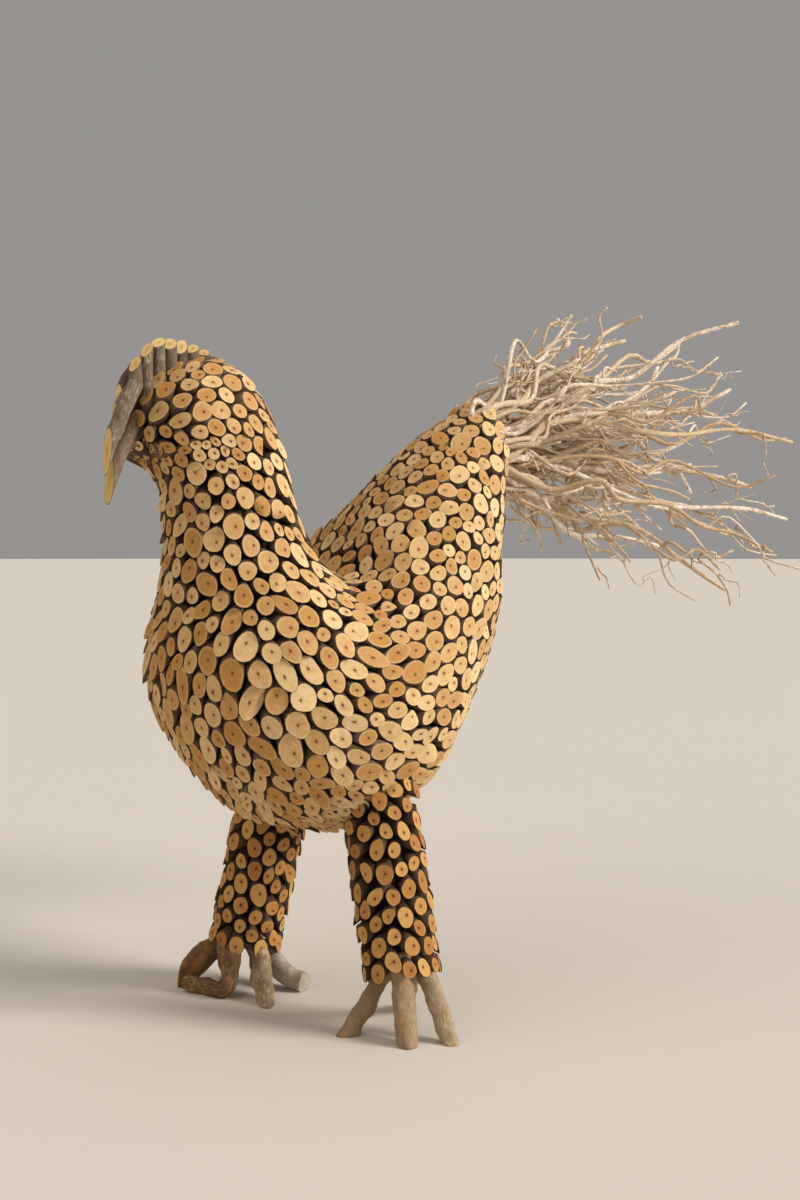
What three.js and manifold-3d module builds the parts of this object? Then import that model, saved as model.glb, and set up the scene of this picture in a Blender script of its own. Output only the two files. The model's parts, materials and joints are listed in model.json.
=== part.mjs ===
import * as THREE from 'three';
import Module from 'manifold-3d';
import { mergeVertices } from 'three/addons/utils/BufferGeometryUtils.js';

// A standing rooster built of sawn twigs.
// The body and the two legs are bundles whose skin is made of hundreds of sawn twig ends.
// The comb, the beak and the toes are longer twigs, and the tail is a brush of branching ones.
//
// Millimetres, +Z up. The bird looks along -Y, its tail points along +Y and its left is +X.
// The pose is given in thousandths of the bird's height, measured forward, up and to the left
// from the ground between its feet. Every twig, gap and clearance is a size of its own.

// Driving sizes
const height = 500;
const fitGap = 0.3;
const seatGap = 0.6;

// Sawn twig ends of the body and the legs
const bodyTwigPitch = 29.5;
const neckTwigPitch = 23;
const bodyPitDepth = 9;
const legTwigPitch = 23;
const legPitDepth = 7;
const shallowRim = 3;

// Legs, packed without pits within `legCollar` of the trunk
const legRadius = 30.5;
const legInside = 32;
const legCollar = 8;

// Comb and beak
const combTwigDiameter = 9.6;
const combTwigCount = 7;
const combTwigLength = 42;
const combFrontLength = 20;
const combTopSlope = 0.75;
const beakTwigDiameter = 10.4;

// Toes
const thickToeDiameter = 20;
const middleToeDiameter = 16;
const thinToeDiameter = 12.5;

// Tail
const tailTwigDiameter = 7;
const tailTipDiameter = 3.4;
const tailForkDiameter = 4.6;
const tailLength = 320;
const tailRootRings = [1, 6, 9, 10];
const tailRootSpread = 0.76;
const tailSpreadSideways = THREE.MathUtils.degToRad(21);
const tailSpreadUpward = THREE.MathUtils.degToRad(28);
const tailSpreadDownward = THREE.MathUtils.degToRad(21);
const tailDroop = THREE.MathUtils.degToRad(6);
const tailWander = 11;

// Growth of the tail twigs: length of each as a share of the full one, how much shorter the upper
// ones are, the shares of a twig's length where it bends, and where and how its fork leaves it
const tailLengthShares = [0.86, 1.04];
const tailTopShortening = 0.5;
const tailShorteningPower = 1.2;
const tailBends = [0.3, 0.65, 1];
const forkPlaces = [0.4, 0.6];
const forkReaches = [0.25, 0.37];
const forkOpening = 0.24;
const forkSag = 0.03;

// Facets
const loftSteps = 150;
const loftSides = 72;
const seatSteps = 72;
const seatSides = 36;
const twigSides = 7;
const tailSides = 5;
const tailSteps = 4;
const forkSides = 4;
const forkSteps = 2;
const settlingRounds = 14;
const weldDistance = 1e-5;
const sameDistance = 1e-3;

// Outline of the head, neck, trunk and stump, from the brow round the breast to the tail.
// Each row is forward and up of the top edge, forward and up of the under edge, and half width.
const trunkRows = [
  [332, 880, 332, 880, 0],
  [326, 904, 324, 848, 30],
  [308, 930, 310, 822, 56],
  [272, 960, 296, 804, 74],
  [212, 976, 282, 780, 78],
  [146, 940, 274, 744, 84],
  [100, 856, 272, 692, 92],
  [84, 776, 274, 624, 108],
  [66, 716, 280, 540, 144],
  [34, 680, 262, 456, 176],
  [0, 668, 206, 376, 198],
  [-28, 684, 136, 310, 208],
  [-54, 714, 40, 278, 210],
  [-84, 748, -60, 276, 204],
  [-124, 784, -156, 326, 190],
  [-208, 858, -280, 480, 151],
  [-254, 892, -314, 580, 121],
  [-296, 916, -340, 676, 98],
  [-342, 942, -374, 800, 69],
];
const neckRows = 7;

// Legs: where the middle line enters the trunk and where it ends above the foot
const legPoses = [
  { side: 'left', top: [-16, 322, 118], foot: [-4, 80, 178] },
  { side: 'right', top: [-16, 322, -118], foot: [-2, 70, -178] },
];

// Toes: share of the leg's radius forward and left where each starts, then the points of its
// middle line, forward, up and left, down to or along the ground, and the way its end faces
const toePoses = [
  { side: 'left', name: 'inner', start: [0.3, -0.48], line: [[78, -14, 136]], diameter: thinToeDiameter },
  { side: 'left', name: 'middle', start: [0.35, 0.3], line: [[46, -14, 240]], diameter: middleToeDiameter },
  { side: 'left', name: 'outer', start: [-0.3, 0.5], line: [[-4, -14, 282]], diameter: thinToeDiameter },
  { side: 'left', name: 'hind', start: [-0.52, -0.25], line: [[-98, -14, 88]], diameter: thinToeDiameter },
  {
    side: 'right',
    name: 'outer',
    start: [0.1, -0.46],
    line: [[74, 16, -248]],
    diameter: thickToeDiameter,
    endFacing: [0.65, 0.35, -0.6],
  },
  {
    side: 'right',
    name: 'front',
    start: [0.6, 0.12],
    line: [[68, 18, -136], [78, 11, -178], [88, 13, -216]],
    diameter: thinToeDiameter,
  },
  { side: 'right', name: 'inner', start: [0.05, 0.62], line: [[56, -14, -54]], diameter: middleToeDiameter },
  {
    side: 'right',
    name: 'hind',
    start: [-0.6, 0.05],
    line: [[-32, 26, -124], [-38, 14, -74]],
    diameter: middleToeDiameter,
  },
];

// Comb: the middle of the row, the highest point of its arc, ahead of that middle and up, and how
// fast it drops away there
const combMiddle = 282;
const combCrest = [10, 992.5];
const combDropForward = 0.012;
const combDropBack = 0.0022;
const combLean = 0.04;

// Beak: both ends of each twig's middle line, forward, up and left
const beakPoses = [
  { name: 'beak_upper', from: [349, 918, 4], to: [395, 826, 4], slant: 0.62 },
  { name: 'beak_lower', from: [335, 880, -4], to: [386, 786, -4], slant: 0.58 },
  { name: 'beak_side_1', from: [316, 952, -38], to: [344, 906, -38], slant: 0.5 },
  { name: 'beak_side_2', from: [342, 912, -18], to: [364, 876, -18], slant: 0.5 },
];

const up = new THREE.Vector3(0, 0, 1);
const left = new THREE.Vector3(1, 0, 0);
const thousandth = height / 1000;

const wasm = await Module();
wasm.setup();

// A point of the pose, from thousandths of the height.
function at(forward, upward, leftward) {
  return new THREE.Vector3(leftward, -forward, upward).multiplyScalar(thousandth);
}

// A repeatable number between the two of `range` for copy `index` and purpose `salt`: the part
// behind the point of a much enlarged sine, which jumps about from one copy to the next.
function chance(index, salt, range) {
  const [indexStep, saltStep, enlargement] = [12.9898, 78.233, 43758.5453];
  const value = Math.sin(index * indexStep + salt * saltStep) * enlargement;
  return THREE.MathUtils.lerp(...range, value - Math.floor(value));
}

// Closed geometry with shared corners and nothing but positions.
function weld(geometry) {
  geometry.deleteAttribute('normal');
  geometry.deleteAttribute('uv');
  return mergeVertices(geometry, weldDistance);
}

function toSolid(geometry) {
  const welded = weld(geometry.clone());
  return new wasm.Manifold(new wasm.Mesh({
    numProp: 3,
    vertProperties: Float32Array.from(welded.attributes.position.array),
    triVerts: Uint32Array.from(welded.index.array),
  }));
}

function fromSolid(solid) {
  const mesh = solid.getMesh();
  const geometry = new THREE.BufferGeometry();
  geometry.setAttribute('position', new THREE.BufferAttribute(mesh.vertProperties, 3));
  geometry.setIndex(new THREE.BufferAttribute(mesh.triVerts, 1));
  return geometry;
}

// A surface through oval rings, closed by a flat face at both ends.
// A ring has a centre and two half axes, `rise` and `reach`, turning right-handed about the
// direction in which the rings follow each other.
function loft(rings, steps, around) {
  const [centres, rises, reaches] = ['centre', 'rise', 'reach'].map(
    (part) => new THREE.CatmullRomCurve3(rings.map((ring) => ring[part]), false, 'catmullrom'),
  );
  const points = [];
  for (let i = 0; i <= steps; i += 1) {
    const share = i / steps;
    const rise = rises.getPoint(share);
    const reach = reaches.getPoint(share);
    for (let j = 0; j < around; j += 1) {
      const angle = (2 * Math.PI * j) / around;
      const point = centres.getPoint(share);
      point.addScaledVector(rise, Math.cos(angle)).addScaledVector(reach, Math.sin(angle));
      points.push(point);
    }
  }
  const firstCentre = points.push(centres.getPoint(0)) - 1;
  const lastCentre = points.push(centres.getPoint(1)) - 1;
  const corners = [];
  for (let j = 0; j < around; j += 1) {
    const next = (j + 1) % around;
    const lastRing = steps * around;
    corners.push(firstCentre, next, j, lastCentre, lastRing + j, lastRing + next);
    for (let i = 0; i < steps; i += 1) {
      const here = i * around;
      const beyond = here + around;
      corners.push(here + j, here + next, beyond + j, here + next, beyond + next, beyond + j);
    }
  }
  const geometry = new THREE.BufferGeometry().setFromPoints(points);
  geometry.setIndex(corners);
  return weld(geometry);
}

// The triangles of a welded geometry that still have three different corners.
function realTriangles(geometry) {
  const index = geometry.index.array;
  const triangles = [];
  for (let k = 0; k < index.length; k += 3) {
    const [a, b, c] = [index[k], index[k + 1], index[k + 2]];
    if (a !== b && b !== c && c !== a) {
      triangles.push([a, b, c]);
    }
  }
  return triangles;
}

function cornerPoints(geometry) {
  const position = geometry.attributes.position;
  const pointAt = (_, k) => new THREE.Vector3().fromBufferAttribute(position, k);
  return Array.from({ length: position.count }, pointAt);
}

// The same surface moved out by `distance`, as a solid for cutting seats.
function grown(rings, distance) {
  const geometry = loft(rings, seatSteps, seatSides);
  geometry.setIndex(realTriangles(geometry).flat());
  geometry.computeVertexNormals();
  const { position, normal } = geometry.attributes;
  for (let k = 0; k < position.count; k += 1) {
    const point = new THREE.Vector3().fromBufferAttribute(position, k);
    point.addScaledVector(new THREE.Vector3().fromBufferAttribute(normal, k), distance);
    position.setXYZ(k, point.x, point.y, point.z);
  }
  return toSolid(geometry);
}

// Seeds for twig ends, spread evenly over a surface at the pitch that `pitchAt` asks for.
// Each new seed goes to the emptiest place, then all of them settle to the middle of their cells.
function spreadSeeds(points, areas, pitchAt, isSawn) {
  const pitches = points.map(pitchAt);
  const hexagon = Math.sqrt(3) / 2;
  const open = points.map((_, k) => k).filter((k) => !isSawn(k));
  const share = (k) => areas[k] / (hexagon * pitches[k] ** 2);
  const count = Math.round(open.reduce((sum, k) => sum + share(k), 0));
  const emptiness = points.map(() => Infinity);
  const seeds = [points[open[0]].clone()];
  while (seeds.length < count) {
    const latest = seeds[seeds.length - 1];
    let emptiest = open[0];
    for (const k of open) {
      emptiness[k] = Math.min(emptiness[k], points[k].distanceTo(latest) / pitches[k]);
      if (emptiness[k] > emptiness[emptiest]) {
        emptiest = k;
      }
    }
    seeds.push(points[emptiest].clone());
  }
  for (let round = 0; round < settlingRounds; round += 1) {
    const cells = nearestSeeds(points, seeds, isSawn);
    const sums = seeds.map(() => new THREE.Vector3());
    const weights = seeds.map(() => 0);
    for (const k of open) {
      const weight = areas[k] / pitches[k] ** 4;
      sums[cells[k]].addScaledVector(points[k], weight);
      weights[cells[k]] += weight;
    }
    seeds.forEach((seed, s) => seed.copy(sums[s]).divideScalar(weights[s]));
  }
  return seeds;
}

// For each point the seed it belongs to, or a cell of its own for the sawn face it is on.
function nearestSeeds(points, seeds, isSawn) {
  return points.map((point, k) => {
    const sawnFace = isSawn(k);
    if (sawnFace) {
      return seeds.length + sawnFace - 1;
    }
    let nearest = 0;
    let least = Infinity;
    seeds.forEach((seed, s) => {
      const distance = point.distanceToSquared(seed);
      if (distance < least) {
        least = distance;
        nearest = s;
      }
    });
    return nearest;
  });
}

// The point of a border line that is nearest to its middle.
function middleOf(line) {
  const mean = new THREE.Vector3();
  line.forEach((point) => mean.addScaledVector(point, 1 / line.length));
  const nearer = (a, b) => (b.distanceTo(mean) < a.distanceTo(mean) ? b : a);
  return line.reduce(nearer).clone();
}

// The same cells with each one in one piece: a stray part goes to the cell that surrounds it.
function joinedCells(cells, triangles) {
  const neighbours = cells.map(() => new Set());
  for (const corners of triangles) {
    corners.forEach((a, side) => {
      neighbours[a].add(corners[(side + 1) % 3]).add(corners[(side + 2) % 3]);
    });
  }
  const patchOf = cells.map(() => -1);
  const patches = [];
  cells.forEach((cell, start) => {
    if (patchOf[start] >= 0) {
      return;
    }
    const patch = [start];
    patchOf[start] = patches.length;
    for (const a of patch) {
      for (const b of neighbours[a]) {
        if (cells[b] === cell && patchOf[b] < 0) {
          patchOf[b] = patches.length;
          patch.push(b);
        }
      }
    }
    patches.push(patch);
  });
  const largest = new Map();
  for (const patch of patches) {
    const cell = cells[patch[0]];
    if (patch.length > (largest.get(cell)?.length ?? 0)) {
      largest.set(cell, patch);
    }
  }
  const joined = [...cells];
  for (const patch of patches) {
    if (largest.get(cells[patch[0]]) !== patch) {
      const around = patch.flatMap((a) => [...neighbours[a]]);
      const outside = around.find((b) => patchOf[b] !== patchOf[patch[0]]);
      patch.forEach((a) => {
        joined[a] = cells[outside];
      });
    }
  }
  return joined;
}

// A bundle of twigs as one solid. Its skin is a flat many-sided face for each sawn twig end.
// Neighbouring ends touch at one corner, and a pit as deep as `pitDepthAt` asks for goes down
// wherever three of them meet.
function twigBundle(rings, pitchAt, pitDepthAt, sawnEnds) {
  const geometry = loft(rings, loftSteps, loftSides);
  const points = cornerPoints(geometry);
  const triangles = realTriangles(geometry);
  const sawnCentres = sawnEnds.map((end) => rings.at(end).centre);
  const isAt = (centre, k) => points[k].distanceTo(centre) < sameDistance;
  const isSawn = (k) => sawnCentres.findIndex((centre) => isAt(centre, k)) + 1;
  const areas = points.map(() => 0);
  for (const [a, b, c] of triangles) {
    const area = new THREE.Triangle(points[a], points[b], points[c]).getArea();
    [a, b, c].forEach((k) => {
      areas[k] += area / 3;
    });
  }
  const seeds = spreadSeeds(points, areas, pitchAt, isSawn);
  const cells = joinedCells(nearestSeeds(points, seeds, isSawn), triangles);

  const borders = new Map();
  const borderName = (i, j) => (i < j ? `${i} ${j}` : `${j} ${i}`);
  const meetings = [];
  for (const corners of triangles) {
    corners.forEach((a, side) => {
      const b = corners[(side + 1) % 3];
      if (cells[a] === cells[b]) {
        return;
      }
      const name = borderName(cells[a], cells[b]);
      const border = borders.get(name) ?? { line: [], number: borders.size };
      const middle = points[a].clone().lerp(points[b], 0.5);
      border.line.push(isSawn(a) ? points[b] : isSawn(b) ? points[a] : middle);
      borders.set(name, border);
    });
    const met = corners.map((k) => cells[k]);
    if (new Set(met).size === 3) {
      meetings.push({ met, corners });
    }
  }
  const touch = (i, j) => borders.get(borderName(i, j));
  const skin = [...borders.values()].map(({ line }) => middleOf(line));
  const faces = [];
  const nextAround = new Map();
  for (const { met, corners } of meetings) {
    const rim = met.map((cell, k) => touch(cell, met[(k + 1) % 3]).number);
    const opening = new THREE.Triangle(skin[rim[0]], skin[rim[1]], skin[rim[2]]);
    const outward = opening.getNormal(new THREE.Vector3());
    const onSkin = corners.filter((k) => !isSawn(k));
    const pit = new THREE.Vector3();
    onSkin.forEach((k) => pit.addScaledVector(points[k], 1 / onSkin.length));
    const depth = pitDepthAt(pit) / (onSkin.length < corners.length ? shallowRim : 1);
    pit.addScaledVector(outward, -Math.min(depth, Math.sqrt(opening.getArea())));
    const bottom = skin.push(pit) - 1;
    rim.forEach((number, k) => faces.push([number, rim[(k + 1) % 3], bottom]));
    met.forEach((cell, k) => {
      nextAround.set(`${cell} ${met[(k + 1) % 3]}`, met[(k + 2) % 3]);
    });
  }
  const starts = new Map(
    meetings.flatMap(({ met }) => met.map((cell, k) => [cell, met[(k + 1) % 3]])),
  );
  for (const [cell, start] of starts) {
    const loop = [];
    let neighbour = start;
    do {
      loop.push(touch(cell, neighbour).number);
      neighbour = nextAround.get(`${cell} ${neighbour}`);
    } while (neighbour !== start);
    for (let k = 1; k + 1 < loop.length; k += 1) {
      faces.push([loop[0], loop[k], loop[k + 1]]);
    }
  }
  const bundle = new THREE.BufferGeometry().setFromPoints(skin);
  bundle.setIndex(faces.flat());
  return bundle;
}

// A round twig bent along `path`, tapering from the first radius to the last.
// Each end is sawn flat on the plane whose normal is given, or square where none is.
function twig({ path, radii, sides, steps, sawn = [null, null] }) {
  const geometry = new THREE.CylinderGeometry(1, 1, 1, sides, steps);
  const frames = path.computeFrenetFrames(steps);
  const { position } = geometry.attributes;
  for (let k = 0; k < position.count; k += 1) {
    const share = 0.5 - position.getY(k);
    const ring = Math.round(share * steps);
    const tangent = frames.tangents[ring];
    const radius = THREE.MathUtils.lerp(radii[0], radii[1], share);
    const offset = new THREE.Vector3();
    offset.addScaledVector(frames.normals[ring], position.getX(k) * radius);
    offset.addScaledVector(frames.binormals[ring], position.getZ(k) * radius);
    const plane = ring === 0 ? sawn[0] : ring === steps ? sawn[1] : null;
    if (plane) {
      offset.addScaledVector(tangent, -offset.dot(plane) / tangent.dot(plane));
    }
    const point = path.getPointAt(share).add(offset);
    position.setXYZ(k, point.x, point.y, point.z);
  }
  return weld(geometry);
}

function pathThrough(points) {
  return points.length === 2 ? new THREE.LineCurve3(...points) : new THREE.CatmullRomCurve3(points);
}

const bird = new THREE.Group();

function addPiece(name, geometry, color, roughness) {
  const material = new THREE.MeshStandardMaterial({ color, roughness, metalness: 0 });
  const mesh = new THREE.Mesh(geometry, material);
  mesh.name = name;
  bird.add(mesh);
}

const sawnWood = 0xc99f66;
const shadedWood = 0xb9843f;
const bark = 0x7b6a58;
const paleBark = 0x9d8f7f;
const driftwood = 0xc9b190;

// Trunk, with the neck and head in front and the stump that holds the tail behind
const trunkRings = trunkRows.map(([topForward, topUp, underForward, underUp, halfWidth]) => {
  const top = at(topForward, topUp, 0);
  const under = at(underForward, underUp, 0);
  return {
    centre: top.clone().lerp(under, 0.5),
    rise: top.clone().sub(under).multiplyScalar(0.5),
    reach: at(0, 0, halfWidth),
  };
});
const neckFloor = trunkRings[neckRows].centre.z;
const trunkPitch = (point) => {
  const [from, to] = [neckFloor - bodyTwigPitch, neckFloor + bodyTwigPitch];
  const share = THREE.MathUtils.smoothstep(point.z, from, to);
  return THREE.MathUtils.lerp(bodyTwigPitch, neckTwigPitch, share);
};
addPiece('body', twigBundle(trunkRings, trunkPitch, () => bodyPitDepth, [-1]), sawnWood, 0.75);
const trunkSeat = grown(trunkRings, seatGap);

// Legs, cut off where they meet the trunk, with no pit in their collars
const trunkSkin = cornerPoints(loft(trunkRings, loftSteps, loftSides));
const legPitAt = (point) => {
  const toTrunk = Math.min(...trunkSkin.map((corner) => corner.distanceTo(point)));
  return THREE.MathUtils.clamp(toTrunk - legCollar, 0, legPitDepth);
};
const legFeet = {};
for (const { side, top, foot } of legPoses) {
  const upper = at(...top);
  const lower = at(...foot);
  const axis = lower.clone().sub(upper).normalize();
  const rise = left.clone().addScaledVector(axis, -left.dot(axis)).normalize();
  const reach = axis.clone().cross(rise);
  const hiddenEnd = upper.clone().addScaledVector(axis, -legInside);
  const rings = [hiddenEnd, lower].map((centre) => ({
    centre,
    rise: rise.clone().multiplyScalar(legRadius),
    reach: reach.clone().multiplyScalar(legRadius),
  }));
  const column = twigBundle(rings, () => legTwigPitch, legPitAt, [0, -1]);
  addPiece(`${side}_leg`, fromSolid(toSolid(column).subtract(trunkSeat)), shadedWood, 0.75);
  legFeet[side] = { lower, axis };
}

// Toes, from the underside of each leg down to the ground
const slabDepth = 40;
const slabWidth = 2 * height;
const ground = toSolid(
  new THREE.BoxGeometry(slabWidth, slabWidth, slabDepth).translate(0, 0, -slabDepth / 2),
);
for (const { side, name, start, line, diameter, endFacing = [0, 1, 0] } of toePoses) {
  const { lower, axis } = legFeet[side];
  const forward = new THREE.Vector3(0, -1, 0);
  const root = lower.clone().addScaledVector(axis, fitGap);
  [forward, left].forEach((direction, k) => {
    const flat = direction.clone().addScaledVector(axis, -direction.dot(axis)).normalize();
    root.addScaledVector(flat, start[k] * legRadius);
  });
  const path = pathThrough([root, ...line.map((point) => at(...point))]);
  const toe = twig({
    path,
    radii: [diameter / 2, diameter / 2],
    sides: twigSides + 1,
    steps: line.length > 1 ? 2 * line.length : 1,
    sawn: [axis, line.length > 1 ? null : at(...endFacing).normalize()],
  });
  addPiece(`${side}_toe_${name}`, fromSolid(toSolid(toe).subtract(ground)), paleBark, 0.85);
}

// Comb, a row of upright twigs along the top of the head with slanting tops
const combPitch = combTwigDiameter + fitGap;
for (let k = 0; k < combTwigCount; k += 1) {
  const forward = combMiddle + (((combTwigCount - 1) / 2 - k) * combPitch) / thousandth;
  const pastCrest = forward - combMiddle - combCrest[0];
  const drop = pastCrest > 0 ? combDropForward : combDropBack;
  const peak = at(forward, combCrest[1] - drop * pastCrest ** 2, 0);
  const length = k === 0 ? combFrontLength : combTwigLength;
  const foot = peak.clone().add(new THREE.Vector3(0, combLean * length, -length));
  const path = new THREE.LineCurve3(foot, peak);
  const upright = twig({
    path,
    radii: [combTwigDiameter / 2, combTwigDiameter / 2],
    sides: twigSides,
    steps: 1,
    sawn: [null, new THREE.Vector3(0, -combTopSlope, 1).normalize()],
  });
  addPiece(`comb_twig_${k + 1}`, fromSolid(toSolid(upright).subtract(trunkSeat)), bark, 0.85);
}

// Beak, four twigs that point down past the chin, each ending in a long slanting cut
for (const { name, from, to, slant } of beakPoses) {
  const path = new THREE.LineCurve3(at(...from), at(...to));
  const direction = path.getTangent(0);
  const front = left.clone().cross(direction).negate();
  const cut = direction.clone().lerp(front, slant).normalize();
  const stick = twig({
    path,
    radii: [beakTwigDiameter / 2, beakTwigDiameter / 2],
    sides: twigSides,
    steps: 1,
    sawn: [null, cut],
  });
  addPiece(name, fromSolid(toSolid(stick).subtract(trunkSeat)), bark, 0.85);
}

// Tail, forked twigs that fan out from the flat end of the stump
const stump = trunkRings.at(-1);
const stumpNormal = stump.rise.clone().cross(stump.reach).normalize();
const either = [-1, 1];
let tailCount = 0;
tailRootRings.forEach((count, ringNumber) => {
  for (let k = 0; k < count; k += 1) {
    tailCount += 1;
    const number = tailCount;
    const outward = ringNumber / (tailRootRings.length - 1);
    const angle = (2 * Math.PI * (k + (ringNumber % 2) / 2)) / count;
    const upShare = outward * Math.cos(angle);
    const sideShare = outward * Math.sin(angle);
    const root = stump.centre.clone().addScaledVector(stumpNormal, fitGap);
    root.addScaledVector(stump.rise, upShare * tailRootSpread);
    root.addScaledVector(stump.reach, sideShare * tailRootSpread);

    const aim = stumpNormal.clone().applyAxisAngle(left, -tailDroop);
    const spread = upShare > 0 ? tailSpreadUpward : tailSpreadDownward;
    aim.addScaledVector(stump.rise.clone().normalize(), Math.tan(spread) * upShare);
    aim.addScaledVector(left, Math.tan(tailSpreadSideways) * sideShare).normalize();
    const across = aim.clone().cross(left).normalize();
    const beside = aim.clone().cross(across);
    const shorter = 1 - tailTopShortening * Math.max(0, upShare) ** tailShorteningPower;
    const length = tailLength * shorter * chance(number, 1, tailLengthShares);
    const bends = tailBends.map((share, bend) => root.clone()
      .addScaledVector(aim, length * share)
      .addScaledVector(across, tailWander * share * chance(number, 2 + 2 * bend, either))
      .addScaledVector(beside, tailWander * share * chance(number, 3 + 2 * bend, either)));
    const path = new THREE.CatmullRomCurve3([root, ...bends]);
    const stem = twig({
      path,
      radii: [tailTwigDiameter / 2, tailTipDiameter / 2],
      sides: tailSides,
      steps: tailSteps,
      sawn: [stumpNormal, null],
    });

    const forkShare = chance(number, 8, forkPlaces);
    const forkTurn = chance(number, 9, [0, 2 * Math.PI]);
    const forkReach = length * chance(number, 10, forkReaches);
    const forkStart = path.getPointAt(forkShare);
    const forkAim = path.getTangentAt(forkShare);
    forkAim.addScaledVector(across, forkOpening * Math.cos(forkTurn));
    forkAim.addScaledVector(beside, forkOpening * Math.sin(forkTurn)).normalize();
    const forkEnd = forkStart.clone().addScaledVector(forkAim, forkReach);
    const forkMiddle = forkStart.clone().lerp(forkEnd, 0.5);
    forkMiddle.addScaledVector(up, -forkSag * forkReach);
    const fork = twig({
      path: new THREE.CatmullRomCurve3([forkStart, forkMiddle, forkEnd]),
      radii: [tailForkDiameter / 2, tailTipDiameter / 2],
      sides: forkSides,
      steps: forkSteps,
    });
    const name = `tail_twig_${String(number).padStart(2, '0')}`;
    addPiece(name, fromSolid(toSolid(stem).add(toSolid(fork))), driftwood, 0.8);
  }
});

// The bird stands with the middle of its whole length and width over the origin.
const extent = new THREE.Box3().setFromObject(bird);
const middle = extent.getCenter(new THREE.Vector3());
bird.position.set(-middle.x, -middle.y, -extent.min.z);

const rooster = new THREE.Group();
rooster.add(bird);

export default rooster;
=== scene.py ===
"""A standing rooster built of sawn twigs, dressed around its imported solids.

The trunk and the legs are clad in sawn twig ends. Each end is a short stick that leans the way
a feather would lie, from the face back over the neck and up to the tail, and stops in a flat cut.
The comb, the beak and the toes are longer twigs in their bark, and the tail is a brush of
bleached, crooked twigs.

Metres, +Z up. The bird looks along -Y and its left is +X. Its pose is given in thousandths of its
height, forward, up and to the left, from the ground between its feet.
"""
import json
import logging
from dataclasses import dataclass, field
from enum import Enum
from typing import Callable, Iterable, Sequence, Union

import bpy
import numpy as np
from mathutils import Matrix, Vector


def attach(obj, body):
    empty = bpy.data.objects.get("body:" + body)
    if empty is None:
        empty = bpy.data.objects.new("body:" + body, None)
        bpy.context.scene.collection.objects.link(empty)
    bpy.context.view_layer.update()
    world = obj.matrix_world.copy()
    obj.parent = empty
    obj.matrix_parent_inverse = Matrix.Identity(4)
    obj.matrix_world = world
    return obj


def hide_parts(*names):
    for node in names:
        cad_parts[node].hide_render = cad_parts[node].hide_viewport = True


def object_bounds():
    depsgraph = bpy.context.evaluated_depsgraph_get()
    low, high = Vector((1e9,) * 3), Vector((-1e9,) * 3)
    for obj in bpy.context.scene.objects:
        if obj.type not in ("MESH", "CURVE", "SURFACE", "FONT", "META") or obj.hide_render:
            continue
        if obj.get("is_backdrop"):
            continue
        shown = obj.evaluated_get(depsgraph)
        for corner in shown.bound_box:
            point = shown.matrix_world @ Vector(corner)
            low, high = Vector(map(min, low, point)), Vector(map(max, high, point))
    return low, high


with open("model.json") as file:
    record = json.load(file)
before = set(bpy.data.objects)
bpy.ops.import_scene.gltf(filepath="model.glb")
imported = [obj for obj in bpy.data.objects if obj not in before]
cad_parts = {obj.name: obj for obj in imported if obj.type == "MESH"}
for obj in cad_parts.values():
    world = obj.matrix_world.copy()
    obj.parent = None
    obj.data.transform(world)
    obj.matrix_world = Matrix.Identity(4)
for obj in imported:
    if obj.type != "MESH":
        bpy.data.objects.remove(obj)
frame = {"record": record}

Array = np.ndarray
Input = Union["Value", float, int, Sequence[float]]

log = logging.getLogger("rooster")

HEIGHT = 0.5
THOUSANDTH = HEIGHT / 1000
MM = 0.001
UP = np.array([0.0, 0.0, 1.0])
LEFT = np.array([1.0, 0.0, 0.0])
FRONT = np.array([0.0, -1.0, 0.0])
FIT_GAP = 0.3 * MM
BODY = "root"


class Wood(Enum):
    """The record's material slots, one for each kind of wood on the bird."""

    SAWN_ENDS = "sawn_ends"
    LEG_ENDS = "leg_ends"
    TOE_BARK = "toe_bark"
    COMB_BARK = "comb_bark"
    BEAK_BARK = "beak_bark"
    DRIFTWOOD = "driftwood"


# Geometry in whole arrays


def at(pose: Sequence[float] | Array) -> Array:
    """Points of the bird's own frame.

    Args:
        pose: Thousandths of the height forward, up and to the left, in the last axis.

    Returns:
        The points in metres.
    """
    forward, upward, leftward = np.moveaxis(np.asarray(pose, float), -1, 0)
    return np.stack([leftward, -forward, upward], -1) * THOUSANDTH


def unit(vectors: Array) -> Array:
    """Returns the vectors of the last axis at length one."""
    return vectors / np.maximum(np.linalg.norm(vectors, axis=-1, keepdims=True), 1e-12)


def dots(a: Array, b: Array) -> Array:
    """Returns the dot products along the last axis, with that axis kept."""
    return np.sum(a * b, axis=-1, keepdims=True)


def smooth(low: float, high: float, value: Array) -> Array:
    """Returns 0 below `low`, 1 above `high`, and the cubic 3t^2 - 2t^3 between them."""
    t = np.clip((value - low) / (high - low), 0, 1)
    return t * t * (3 - 2 * t)


def spline(knots: Array, count: int) -> Array:
    """Points of a smooth curve through the knots.

    Between two knots it is the cubic whose slope at each knot is half the step from the knot
    before to the knot after, with a mirrored knot added past both ends.

    Args:
        knots: Knots along the last axis but one.
        count: How many points to return.

    Returns:
        The points, along the last axis but one.
    """
    first = 2 * knots[..., :1, :] - knots[..., 1:2, :]
    last = 2 * knots[..., -1:, :] - knots[..., -2:-1, :]
    padded = np.concatenate([first, knots, last], axis=-2)
    place = np.linspace(0, knots.shape[-2] - 1 - 1e-9, count)
    step = place.astype(int)
    u = (place - step)[:, None]
    p0, p1, p2, p3 = (padded[..., step + k, :] for k in range(4))
    cubic = (3 * p1 - 3 * p2 + p3 - p0) * u**3
    square = (2 * p0 - 5 * p1 + 4 * p2 - p3) * u**2
    return 0.5 * (2 * p1 + (p2 - p0) * u + square + cubic)


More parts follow.
